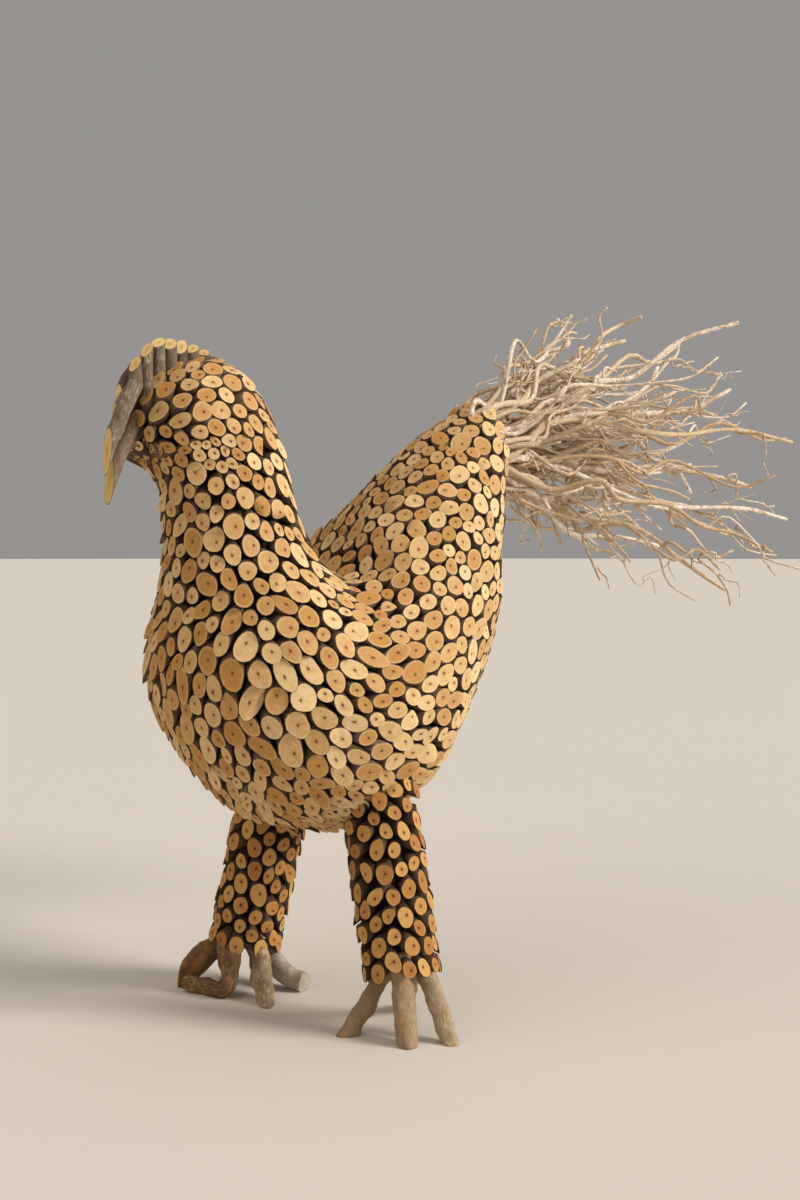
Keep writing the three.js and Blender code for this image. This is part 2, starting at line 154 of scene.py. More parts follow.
def chance(index: Array | int, salt: int, low: float = 0.0, high: float = 1.0) -> Array | float:
    """A repeatable number for a numbered twig: the broken part of a much enlarged sine.

    Args:
        index: The twig's number.
        salt: Which of its numbers this is.
        low: The least it can be.
        high: The most it can be.

    Returns:
        The number.
    """
    value = np.sin(index * 12.9898 + salt * 78.233) * 43758.5453
    return low + (high - low) * (value - np.floor(value))


def lumps(points: Array, size: float, seed: int, waves: int = 14) -> Array:
    """Smooth random heights between about -1 and 1.

    The height is a sum of sine waves that run through space in random directions, each with a
    length near `size`.

    Args:
        points: Where to take the height.
        size: The usual distance between two lumps.
        seed: Which pattern.
        waves: How many sine waves are summed.

    Returns:
        One height for each point.
    """
    rng = np.random.default_rng(seed)
    directions = unit(rng.normal(size=(waves, 3))) * rng.uniform(0.6, 1.7, (waves, 1))
    phases = rng.uniform(0, 2 * np.pi, waves)
    heights = np.sin(points @ (directions * np.pi / size).T + phases)
    return heights.sum(-1) / np.sqrt(waves)


@dataclass
class Form:
    """Closed forms in one mesh, with what their finishes read at each point.

    Attributes:
        points: Places in the bird's own frame.
        faces: Point numbers of quads, or of triangles with -1 as the fourth.
        sawn: Whether each face is a sawn one, otherwise it is bark.
        place: Place in the twig's own frame in millimetres, across, across and along.
        tone: Three random numbers for each twig.
        edge: Share of the way from the pith to the bark.
    """

    points: Array
    faces: Array
    sawn: Array
    place: Array
    tone: Array
    edge: Array

    @staticmethod
    def join(forms: Iterable["Form"]) -> "Form":
        """Returns several forms as one."""
        forms = list(forms)
        starts = np.cumsum([0] + [len(form.points) for form in forms[:-1]])
        moved = [np.where(f.faces < 0, -1, f.faces + s) for f, s in zip(forms, starts)]
        return Form(
            points=np.concatenate([form.points for form in forms]),
            faces=np.concatenate(moved),
            sawn=np.concatenate([form.sawn for form in forms]),
            place=np.concatenate([form.place for form in forms]),
            tone=np.concatenate([form.tone for form in forms]),
            edge=np.concatenate([form.edge for form in forms]),
        )


def ring_faces(rings: int, sides: int, copies: int) -> Array:
    """Faces of tubes whose two ends close in a single point.

    A copy's points are its first end, its rings in order and its last end.

    Args:
        rings: Rings in each copy.
        sides: Points in each ring.
        copies: How many tubes follow each other.

    Returns:
        Quads, and triangles with -1, copy after copy. Each copy has the first fan, the quads
        ring by ring and the last fan.
    """
    j = np.arange(sides)
    here = 1 + j
    following = 1 + (j + 1) % sides
    none = np.full(sides, -1)
    first = np.stack([np.zeros(sides, int), following, here, none], -1)
    step = (np.arange(rings - 1) * sides)[:, None]
    quads = np.stack([here + step, following + step, following + step + sides, here + step + sides], -1)
    top = (rings - 1) * sides
    last = np.stack([here + top, following + top, np.full(sides, rings * sides + 1), none], -1)
    one = np.concatenate([first, quads.reshape(-1, 4), last])
    size = rings * sides + 2
    shifts = (np.arange(copies) * size)[:, None, None]
    return np.where(one < 0, -1, one + shifts).reshape(-1, 4)


def frames_along(paths: Array, references: Array) -> tuple[Array, Array, Array]:
    """Directions along paths.

    Args:
        paths: Points (copies, rows, 3).
        references: A direction for each copy that its path never follows.

    Returns:
        The tangents and two directions across, so that the three are right-handed.
    """
    tangents = unit(np.gradient(paths, axis=1))
    side = unit(np.cross(tangents, references[:, None, :]))
    return tangents, side, np.cross(tangents, side)


@dataclass(frozen=True)
class TwigShape:
    """How round twigs are made into meshes.

    Attributes:
        sides: Points around a twig.
        bark_rim: Share of the radius at which the bark ends on a sawn face.
        rim_drop: How far the outer edge of the bark lies below the sawn face.
        oval: How far a twig's section departs from a circle.
        knot_size: Distance between the lumps of the bark.
        knot_height: Height of those lumps as a share of the radius.
        slant_zone: Length, in largest slides, over which the rows turn into a slanting cut.
    """

    sides: int = 16
    bark_rim: float = 0.93
    rim_drop: float = 0.4 * MM
    oval: float = 0.05
    knot_size: float = 14 * MM
    knot_height: float = 0.06
    slant_zone: float = 2.5

    def grow(
        self,
        paths: Array,
        radii: Array,
        references: Array,
        seed: int,
        cuts: Array | None = None,
    ) -> Form:
        """Twigs that follow paths.

        A point of the bark is path + radius * (cos a * side + sin a * rise), with the radius
        raised and lowered by lumps. At a sawn end the last rows slide along the twig onto the
        plane through the path's end, and rings of 0.93, 0.5 and 0 of the radius close it.

        Args:
            paths: Points (copies, rows, 3).
            radii: Radius at each of them (copies, rows).
            references: A direction for each copy that its path never follows.
            seed: Which random pattern.
            cuts: Outward normal of the sawn face at the last end of each copy, or none for a tip
                that closes in a point.

        Returns:
            One form with all the twigs.
        """
        rng = np.random.default_rng(seed)
        copies, rows = radii.shape
        tangents, side, rise = frames_along(paths, references)
        angle = 2 * np.pi * np.arange(self.sides) / self.sides
        phases = rng.uniform(0, 2 * np.pi, (3, copies, 1, 1))
        outline = 1 + self.oval * np.cos(2 * angle + phases[0]) + 0.5 * self.oval * np.cos(3 * angle + phases[1])
        ring = np.cos(angle)[:, None] * side[:, :, None, :] + np.sin(angle)[:, None] * rise[:, :, None, :]
        reach = radii[:, :, None, None] * outline[..., None]
        places = paths[:, :, None, :] + ring * reach
        lump = lumps(places, self.knot_size, seed) + 0.4 * lumps(places, 0.37 * self.knot_size, seed + 1)
        offsets = ring * reach * (1 + self.knot_height * lump[..., None])

        lengths = np.concatenate(
            [np.zeros((copies, 1)), np.cumsum(np.linalg.norm(np.diff(paths, axis=1), axis=-1), axis=1)], axis=1
        )
        slides = np.zeros((copies, rows, self.sides, 1))
        extra_offsets = []
        if cuts is not None:
            end_tangent = tangents[:, -1, None, :]
            normal = cuts[:, None, :]
            slope = dots(end_tangent, normal)
            full = -dots(offsets[:, -1], normal) / slope
            most = np.abs(full).max(axis=(1, 2))
            zone = np.maximum(self.slant_zone * most, 1e-6)
            weight = np.clip(1 - (lengths[:, -1:] - lengths) / zone[:, None], 0, 1)
            slides = weight[:, :, None, None] * full[:, None]
            for scale in (self.bark_rim, 0.5, 0.0):
                inner = offsets[:, -1] * scale
                extra_offsets.append(inner + full * scale * end_tangent)
            slides[:, -1] -= self.rim_drop
        body = paths[:, :, None, :] + offsets + slides * tangents[:, :, None, :]
        first = paths[:, :1, None, :] - tangents[:, :1, None, :] * radii[:, :1, None, None] * 0.3
        rings = [body]
        if cuts is None:
            last = paths[:, -1:, None, :] + tangents[:, -1:, None, :] * radii[:, -1:, None, None] * 0.6
        else:
            rings += [(paths[:, -1, None, :] + inner)[:, None] for inner in extra_offsets[:2]]
            last = (paths[:, -1, None, :] + extra_offsets[2][:, :1])[:, None]
        grid = np.concatenate(rings, axis=1)
        total = grid.shape[1]
        points = np.concatenate(
            [first.reshape(copies, 1, 3), grid.reshape(copies, -1, 3), last.reshape(copies, 1, 3)], axis=1
        )

        along = lengths[:, :, None] + slides[..., 0]
        across = radii[:, :, None] * np.ones(self.sides)
        edge = np.ones((copies, rows, self.sides))
        if cuts is not None:
            end_along = np.repeat(along[:, -1:], 2, axis=1)
            along = np.concatenate([along, end_along], axis=1)
            scales = np.array([self.bark_rim, 0.5])[None, :, None]
            across = np.concatenate([across, across[:, -1:] * scales], axis=1)
            edge = np.concatenate([edge, np.ones((copies, 2, self.sides)) * scales], axis=1)
        local = np.stack([across * np.cos(angle), across * np.sin(angle), along], -1) / MM
        ends = np.stack([local[:, 0].mean(axis=1), local[:, -1].mean(axis=1)], axis=1)
        place = np.concatenate([ends[:, :1], local.reshape(copies, -1, 3), ends[:, 1:]], axis=1)
        rim = np.concatenate([np.ones((copies, 1)), edge.reshape(copies, -1), np.zeros((copies, 1))], axis=1)
        tone = np.repeat(rng.uniform(size=(copies, 1, 3)), points.shape[1], axis=1)

        faces = ring_faces(total, self.sides, copies)
        sawn_one = np.zeros((total + 1, self.sides), bool)
        if cuts is not None:
            sawn_one[rows + 1:] = True
        return Form(
            points=points.reshape(-1, 3),
            faces=faces,
            sawn=np.tile(sawn_one.reshape(-1), copies),
            place=place.reshape(-1, 3),
            tone=tone.reshape(-1, 3),
            edge=rim.reshape(-1),
        )


@dataclass(frozen=True)
class StickShape:
    """How the short sticks with the sawn ends are made into meshes.

    The pith lies a little off the middle of the sawn face, to a random side.

    Attributes:
        sides: Points around a stick.
        depth: How far a stick reaches in below its sawn face, besides its own radius.
        bark_rim: Share of the radius at which the bark ends on the sawn face.
        rim_drop: How far the outer edge of the bark lies below the sawn face.
        chipped: Share of the sticks with a chipped edge.
        pointed: Share of the sticks whose section runs out in a point.
    """

    sides: int = 16
    depth: float = 9 * MM
    bark_rim: float = 0.95
    rim_drop: float = 0.5 * MM
    chipped: float = 0.13
    pointed: float = 0.22

    def cut(self, centres: Array, axes: Array, cuts: Array, radii: Array, tone: Array, seed: int) -> Form:
        """Sticks that end in a flat cut.

        A point of the cut is centre + o + axis * h with o = radius * outline(a) * (cos a * u +
        sin a * v) across the stick and h = -(o . n) / (axis . n), which puts it on the plane
        with normal n.

        Args:
            centres: Middle of each sawn face.
            axes: Direction of each stick, out of the bird.
            cuts: Normal of each sawn face.
            radii: Radius of each stick.
            tone: Three random numbers for each stick.
            seed: Which random pattern.

        Returns:
            One form with all the sticks.
        """
        rng = np.random.default_rng(seed)
        count = len(centres)
        u = unit(np.cross(axes, rng.normal(size=(count, 3))))
        v = np.cross(axes, u)
        angle = 2 * np.pi * np.arange(self.sides)[None, :] / self.sides
        phase = rng.uniform(0, 2 * np.pi, (4, count, 1))
        outline = 1 + rng.uniform(0.02, 0.08, (count, 1)) * np.cos(2 * angle + phase[0])
        outline += rng.uniform(0.0, 0.06, (count, 1)) * np.cos(3 * angle + phase[1])
        outline += rng.uniform(0.0, 0.025, (count, 1)) * np.cos(5 * angle + phase[2])
        beaked = rng.uniform(size=(count, 1)) < self.pointed
        outline += np.where(beaked, 0.24, 0.0) * np.maximum(0, np.cos(angle + phase[3])) ** 5
        reach = radii[:, None, None]
        across = np.cos(angle)[..., None] * u[:, None, :] + np.sin(angle)[..., None] * v[:, None, :]
        offset = across * outline[..., None] * reach
        slope = dots(axes[:, None, :], cuts[:, None, :])

        chip_angle = rng.uniform(0, 2 * np.pi, (count, 1))
        chip_way = np.cos(chip_angle) * u + np.sin(chip_angle) * v
        chip_from = rng.uniform(0.2, 0.6, (count, 1, 1)) * reach
        chip_fall = np.tan(rng.uniform(0.45, 0.85, (count, 1, 1)))
        chip_fall *= (rng.uniform(size=(count, 1)) < self.chipped)[..., None]
        pith = rng.normal(scale=0.12, size=(count, 2)) * radii[:, None]
        pith_offset = pith[:, :1] * u + pith[:, 1:] * v

        def ring(scale: float, drop: Input, shift: float, wavy: float) -> Array:
            """Ring of the sawn face at a share of the radius, lowered, and drawn to the pith."""
            here = offset * scale + pith_offset[:, None, :] * shift
            slide = -dots(here, cuts[:, None, :]) / slope
            slide = slide - chip_fall * np.maximum(0, dots(here, chip_way[:, None, :]) - chip_from)
            slide = slide - drop + rng.normal(scale=wavy, size=slide.shape)
            return centres[:, None, :] + here + axes[:, None, :] * slide

        below = (self.depth + radii)[:, None, None]
        root = centres[:, None, :] + offset * 0.97 - axes[:, None, :] * below
        rings = [
            root,
            ring(1.0, self.rim_drop, 0.0, 0.05 * MM),
            ring(self.bark_rim, 0.0, 0.0, 0.05 * MM),
            ring(0.5, rng.normal(scale=0.2 * MM, size=(count, 1, 1)), 0.6, 0.05 * MM),
        ]
        grid = np.stack(rings, axis=1)
        total = grid.shape[1]
        apex = centres - axes * (self.depth + 1.3 * radii)[:, None]
        pith_slide = -dots(pith_offset, cuts) / slope[:, 0]
        heart = centres + pith_offset + axes * (pith_slide - 0.15 * MM)
        points = np.concatenate([apex[:, None], grid.reshape(count, -1, 3), heart[:, None]], axis=1)

        from_pith = points - heart[:, None, :]
        place = np.stack(
            [
                (from_pith * u[:, None, :]).sum(-1),
                (from_pith * v[:, None, :]).sum(-1),
                (from_pith * axes[:, None, :]).sum(-1),
            ],
            -1,
        ) / MM
        shares = np.repeat([1.0, 1.0, self.bark_rim, 0.5], self.sides)
        edge = np.tile(np.concatenate([[1.0], shares, [0.0]]), count)
        sawn_one = np.zeros((total + 1, self.sides), bool)
        sawn_one[3:] = True
        return Form(
            points=points.reshape(-1, 3),
            faces=ring_faces(total, self.sides, count),
            sawn=np.tile(sawn_one.reshape(-1), count),
            place=place.reshape(-1, 3),
            tone=np.repeat(tone, points.shape[1], axis=0),
            edge=edge,
        )


# Shader maths


class Value:
    """A number, colour or vector in a material, with sums written as Python operators."""

    def __init__(self, graph: "Graph", socket: bpy.types.NodeSocket) -> None:
        """Wraps the socket of a node in `graph`."""
        self.graph = graph
        self.socket = socket

    def __add__(self, other: Input) -> "Value":
        """Returns self + other."""
        return self.graph.maths("ADD", self, other)

    __radd__ = __add__

    def __sub__(self, other: Input) -> "Value":
        """Returns self - other."""
        return self.graph.maths("SUBTRACT", self, other)

    def __rsub__(self, other: Input) -> "Value":
        """Returns other - self."""
        return self.graph.maths("SUBTRACT", other, self)

    def __mul__(self, other: Input) -> "Value":
        """Returns self * other."""
        return self.graph.maths("MULTIPLY", self, other)

    __rmul__ = __mul__

    def __truediv__(self, other: Input) -> "Value":
        """Returns self / other."""
        return self.graph.maths("DIVIDE", self, other)

    def __rtruediv__(self, other: Input) -> "Value":
        """Returns other / self."""
        return self.graph.maths("DIVIDE", other, self)

    def __pow__(self, other: Input) -> "Value":
        """Returns self to the power of other."""
        return self.graph.maths("POWER", self, other)

    def ramp(self, low: float, high: float) -> "Value":
        """Returns 0 where self is at `low`, 1 where it is at `high`, smooth between them."""
        settings = {"interpolation_type": "SMOOTHSTEP"}
        inputs = {"Value": self, "From Min": low, "From Max": high}
        return self.graph.node("ShaderNodeMapRange", settings, inputs, "Result")


class Graph:
    """The node tree of one material, made from expressions on values."""

    def __init__(self, name: str) -> None:
        """Makes an empty material called `name`."""
        self.material = bpy.data.materials.new(name)
        self.material.use_nodes = True
        self.tree = self.material.node_tree
        self.tree.nodes.clear()

    def node(
        self,
        kind: str,
        settings: dict[str, object] | None = None,
        inputs: dict[str | int, Input] | None = None,
        output: str | int = 0,
    ) -> Value:
        """Adds one node.

        Args:
            kind: The node's type.
            settings: Its properties, set first.
            inputs: Values or links for its sockets, by name or number.
            output: Which of its results is wanted.

        Returns:
            That result.
        """
        made = self.tree.nodes.new(kind)
        for key, setting in (settings or {}).items():
            setattr(made, key, setting)
        for key, value in (inputs or {}).items():
            if isinstance(value, Value):
                self.tree.links.new(value.socket, made.inputs[key])
            else:
                made.inputs[key].default_value = value
        return Value(self, made.outputs[output])

    def maths(self, operation: str, first: Input, second: Input = 0.0) -> Value:
        """Returns the result of a Math node."""
        return self.node("ShaderNodeMath", {"operation": operation}, {0: first, 1: second})

    def vector(self, operation: str, first: Input, second: Input, output: str | int = 0) -> Value:
        """Returns the result of a Vector Math node."""
        return self.node("ShaderNodeVectorMath", {"operation": operation}, {0: first, 1: second}, output)

    def mix(self, share: Input, first: Input, second: Input, kind: str = "MIX") -> Value:
        """Returns the colour `first` turned into `second` by a share, with a blend mode."""
        settings = {"data_type": "RGBA", "blend_type": kind}
        return self.node("ShaderNodeMix", settings, {0: share, 6: first, 7: second}, 2)

    def attribute(self, name: str, output: str = "Vector") -> Value:
        """Returns what the mesh says under `name`."""
        return self.node("ShaderNodeAttribute", {"attribute_name": name}, output=output)

    def parts(self, vector: Value) -> tuple[Value, Value, Value]:
        """Returns the three numbers of a vector."""
        made = self.tree.nodes.new("ShaderNodeSeparateXYZ")
        self.tree.links.new(vector.socket, made.inputs[0])
        return Value(self, made.outputs[0]), Value(self, made.outputs[1]), Value(self, made.outputs[2])

    def noise(self, where: Value, scale: float, detail: float = 2.0, rough: float = 0.5) -> Value:
        """Returns a cloudy pattern of 0 to 1 about 1 / `scale` wide."""
        inputs = {"Vector": where, "Scale": scale, "Detail": detail, "Roughness": rough}
        return self.node("ShaderNodeTexNoise", None, inputs, 0)

    def surface(self, colour: Input, rough: Input, height: Value, depth: float, gloss: float = 0.35) -> None:
        """Ends the material in a plain rough surface.

        Args:
            colour: Base colour.
            rough: Roughness.
            height: Height of the relief in millimetres.
            depth: Strength of the relief.
            gloss: Specular level.
        """
        normal = self.node(
            "ShaderNodeBump", None, {"Strength": depth, "Distance": MM, "Height": height}, "Normal"
        )
        inputs = {"Base Color": colour, "Roughness": rough, "Normal": normal, "Specular IOR Level": gloss}
        shader = self.node("ShaderNodeBsdfPrincipled", None, inputs)
        end = self.tree.nodes.new("ShaderNodeOutputMaterial")
        self.tree.links.new(shader.socket, end.inputs[0])


Colour = tuple[float, float, float, float]


@dataclass(frozen=True)
class SawnWood:
    """The sawn end of a dry twig: rings round a dark pith, with cracks and a dark rim.

    Attributes:
        name: Name of the material.
        light: Colour of the palest ends.
        dark: Colour of the darkest ends.
        heart: Colour of the halo round the pith.
        pith: Colour of the pith.
        blush: Colour of the patches that some ends have.
        rim: Colour next to the bark.
        ring_gap: Distance between two year rings in millimetres.
    """

    name: str
    light: Colour
    dark: Colour
    heart: Colour
    pith: Colour
    blush: Colour
    rim: Colour
    ring_gap: float = 0.85

    def make(self) -> bpy.types.Material:
        """Returns the material."""
        g = Graph(self.name)
        place = g.attribute("twig_place")
        one, two, three = g.parts(g.attribute("twig_tone"))
        edge = g.attribute("twig_edge", "Fac")
        shifted = g.vector("MULTIPLY_ADD", g.attribute("twig_tone"), (53.0, 71.0, 37.0))
        where = g.vector("ADD", place, shifted)
        flat = g.vector("MULTIPLY", place, (1.0, 1.0, 0.0))
        radius = g.vector("LENGTH", flat, (0.0, 0.0, 0.0), "Value")

        warp = g.noise(where, 0.32, 2.0)
        fine = g.noise(where, 2.6, 3.0, 0.6)
        broad = g.noise(where, 0.22, 2.0)
        rings = g.maths("SINE", (radius + 2.2 * warp) * (2 * np.pi / self.ring_gap)) * 0.5 + 0.5
        colour = g.mix((one * 0.9 + (broad - 0.5) * 0.5 + (fine - 0.5) * 0.2).ramp(0.0, 1.0), self.light, self.dark)
        colour = g.mix(rings * (0.12 + 0.28 * three), colour, self.dark)
        streaks = g.noise(g.vector("MULTIPLY", where, (0.35, 2.2, 1.0)), 1.0, 3.0, 0.6)
        colour = g.mix(streaks.ramp(0.52, 0.74) * 0.32, colour, self.heart)
        colour = g.mix((broad + two * 0.3).ramp(0.66, 0.92) * 0.5, colour, self.blush)
        halo = (radius + (warp - 0.5) * 3.0).ramp(3.4, 0.4) * (0.12 + 0.45 * two)
        colour = g.mix(halo, colour, self.heart)

        x, y, _ = g.parts(place)
        turn = one * 6.283
        cosine, sine = g.maths("COSINE", turn), g.maths("SINE", turn)
        along = x * cosine + y * sine
        beside = g.maths("ABSOLUTE", y * cosine - x * sine + (warp - 0.5) * 0.8)
        split = beside.ramp(0.22, 0.05) * along.ramp(0.2, 0.6) * edge.ramp(0.85, 0.4) * three.ramp(0.80, 0.84)
        grain = g.noise(where, 1.5, 4.0, 0.75)
        specks = grain.ramp(0.60, 0.70) * (two * three).ramp(0.42, 0.62)
        centre = (radius + (fine - 0.5) * 1.4).ramp(1.2, 0.6)
        colour = g.mix(specks * 0.75, colour, self.pith)
        colour = g.mix(split * 0.85, colour, self.pith)
        colour = g.mix(centre * 0.9, colour, self.pith)
        pale_rim = (edge + (fine - 0.5) * 0.16).ramp(0.72, 0.9) * (0.2 + 0.6 * three)
        colour = g.mix(pale_rim * 0.5, colour, self.light)
        rim = (edge + (fine - 0.5) * 0.06).ramp(0.93, 0.985)
        colour = g.mix(rim * 0.8, colour, self.rim)

        height = rings * 0.12 + fine * 0.35 - split * 0.8 - centre * 0.8 - specks * 0.5
        g.surface(colour, 0.66 + 0.2 * fine, height, 0.55)
        return g.material


@dataclass(frozen=True)
class Bark:
    """Bark of a dry twig, streaked along it and patched.

    Attributes:
        name: Name of the material.
        light: Colour of the weathered parts.
        dark: Colour in the furrows.
        patch: Colour where the bark has come off.
        knot: Colour round knots and buds.
        patched: From 0 to 1, how much of the bark has come off.
        bleached: Colour of the rubbed and bleached high spots.
        bleach: From 0 to 1, how much is bleached.
        relief: Strength of the relief.
    """

    name: str
    light: Colour
    dark: Colour
    patch: Colour
    knot: Colour
    patched: float
    bleached: Colour
    bleach: float
    relief: float = 0.7

    def make(self) -> bpy.types.Material:
        """Returns the material."""
        g = Graph(self.name)
        place = g.attribute("twig_place")
        tone = g.attribute("twig_tone")
        one, two, three = g.parts(tone)
        where = g.vector("ADD", place, g.vector("MULTIPLY_ADD", tone, (91.0, 47.0, 63.0)))
        along = g.vector("MULTIPLY", where, (1.0, 1.0, 0.22))
        streak = g.noise(along, 1.1, 4.0, 0.6)
        cloud = g.noise(where, 0.11, 3.0, 0.6)
        fine = g.noise(where, 1.9, 4.0, 0.65)
        dots_of = g.noise(g.vector("MULTIPLY", where, (1.0, 1.0, 1.8)), 0.75, 2.0, 0.5)
        colour = g.mix((streak * 0.8 + cloud * 0.5 + one * 0.3 - 0.3).ramp(0.15, 0.85), self.dark, self.light)
        off = (cloud + (fine - 0.5) * 0.25 + two * 0.12).ramp(0.78 - 0.32 * self.patched, 0.88 - 0.32 * self.patched)
        colour = g.mix(off * 0.85, colour, self.patch)
        rubbed = (streak + three * 0.3 + (cloud - 0.5) * 0.6).ramp(0.95 - 0.5 * self.bleach, 1.15 - 0.5 * self.bleach)
        colour = g.mix(rubbed * 0.8, colour, self.bleached)
        warts = dots_of.ramp(0.66, 0.74)
        colour = g.mix(warts * 0.7, colour, self.knot)
        height = streak * 0.6 + fine * 0.35 + warts * 0.6 - off * 0.5
        g.surface(colour, 0.7 + 0.2 * fine, height, self.relief)
        return g.material


@dataclass(frozen=True)
class ShadedHollow:
    """The crevices between the sticks, in a near-black colour that is painted shade.

    Attributes:
        name: Name of the material.
        dark: Colour of the deepest painted shade.
        light: Colour of the rest of the painted shade.
    """

    name: str
    dark: Colour
    light: Colour

    def make(self) -> bpy.types.Material:
        """Returns the material."""
        g = Graph(self.name)
        where = g.node("ShaderNodeTexCoord", output="Object")
        cloud = g.noise(where, 60.0, 3.0, 0.6)
        fine = g.noise(where, 420.0, 3.0, 0.6)
        colour = g.mix(cloud.ramp(0.3, 0.7), self.dark, self.light)
        g.surface(colour, 0.9, cloud * 2.0 + fine * 0.5, 0.8, 0.1)
        return g.material


@dataclass(frozen=True)
class Plain:
    """A smooth even finish with a faint cloudiness, for the floor.

    Attributes:
        name: Name of the material.
        colour: Its colour.
    """

    name: str
    colour: Colour

    def make(self) -> bpy.types.Material:
        """Returns the material."""
        g = Graph(self.name)
        where = g.node("ShaderNodeTexCoord", output="Object")
        cloud = g.noise(where, 1.5, 2.0)
        g.surface(self.colour, 0.75 + 0.1 * cloud, cloud, 0.02, 0.2)
        return g.material


def rgb(red: float, green: float, blue: float) -> Colour:
    """A colour for a shader from the shares that a screen shows.

    Args:
        red: Red from 0 to 255.
        green: Green from 0 to 255.
        blue: Blue from 0 to 255.

    Returns:
        The same colour in linear light.
    """
    shown = np.array([red, green, blue]) / 255
    linear = np.where(shown <= 0.04045, shown / 12.92, ((shown + 0.055) / 1.055) ** 2.4)
    return (float(linear[0]), float(linear[1]), float(linear[2]), 1.0)


TRUNK_WOOD = SawnWood(
    name="sawn_twig_ends",
    light=rgb(236, 207, 156),
    dark=rgb(184, 130, 60),
    heart=rgb(184, 122, 60),
    pith=rgb(104, 62, 32),
    blush=rgb(204, 160, 108),
    rim=rgb(118, 82, 46),
)
# Darker, more orange copy of the trunk's sawn ends for the legs: painted shade with painted warm light bounced from
# below.
SHADED_LEG_WOOD = SawnWood(
    name="shaded_sawn_leg_ends",
    light=rgb(206, 160, 92),
    dark=rgb(166, 112, 50),
    heart=rgb(166, 92, 38),
    pith=rgb(76, 38, 18),
    blush=rgb(186, 132, 74),
    rim=rgb(98, 62, 32),
)
CUT_WOOD = SawnWood(
    name="slanting_cuts",
    light=rgb(232, 202, 140),
    dark=rgb(208, 164, 92),
    heart=rgb(204, 156, 90),
    pith=rgb(206, 160, 92),
    blush=rgb(214, 170, 108),
    rim=rgb(142, 108, 68),
    ring_gap=1.6,
)
STICK_BARK = Bark(
    name="stick_bark",
    light=rgb(122, 95, 68),
    dark=rgb(46, 32, 21),
    patch=rgb(132, 92, 54),
    knot=rgb(56, 38, 26),
    patched=0.3,
    bleached=rgb(158, 142, 126),
    bleach=0.35,
)
# Darker copy of the stick bark for the legs: painted shade.
SHADED_LEG_BARK = Bark(
    name="shaded_leg_bark",
    light=rgb(104, 78, 52),
    dark=rgb(40, 27, 17),
    patch=rgb(116, 80, 44),
    knot=rgb(40, 26, 17),
    patched=0.25,
    bleached=rgb(112, 94, 76),
    bleach=0.2,
)
COMB_BARK = Bark(
    name="grey_bark",
    light=rgb(146, 130, 110),
    dark=rgb(84, 66, 52),
    patch=rgb(124, 84, 54),
    knot=rgb(150, 84, 40),
    patched=0.5,
    bleached=rgb(172, 160, 144),
    bleach=0.35,
)
TOE_BARK = Bark(
    name="weathered_toe_bark",
    light=rgb(168, 146, 116),
    dark=rgb(126, 102, 76),
    patch=rgb(170, 128, 80),
    knot=rgb(98, 74, 52),
    patched=0.55,
    bleached=rgb(190, 176, 154),
    bleach=0.4,
    relief=0.4,
)
BURL_BARK = Bark(
    name="dark_toe_burl",
    light=rgb(132, 100, 64),
    dark=rgb(62, 42, 26),
    patch=rgb(150, 106, 58),
    knot=rgb(54, 34, 20),
    patched=0.6,
    bleached=rgb(170, 142, 104),
    bleach=0.3,
)
PALE_TOE_BARK = Bark(
    name="pale_toe_bark",
    light=rgb(196, 186, 172),
    dark=rgb(146, 132, 114),
    patch=rgb(170, 142, 106),
    knot=rgb(104, 84, 66),
    patched=0.3,
    bleached=rgb(224, 218, 208),
    bleach=0.6,
    relief=0.45,
)
DRIFTWOOD = Bark(
    name="bleached_driftwood",
    light=rgb(226, 206, 178),
    dark=rgb(174, 144, 110),
    patch=rgb(188, 144, 94),
    knot=rgb(134, 100, 68),
    patched=0.5,
    bleached=rgb(243, 236, 225),
    bleach=0.6,
    relief=0.3,
)
# Near-black finish of the sheet under the sticks: painted shade in the gaps between them.
CREVICE_SHADE = ShadedHollow(name="crevices", dark=rgb(20, 13, 8), light=rgb(50, 35, 23))


# Putting forms into the scene


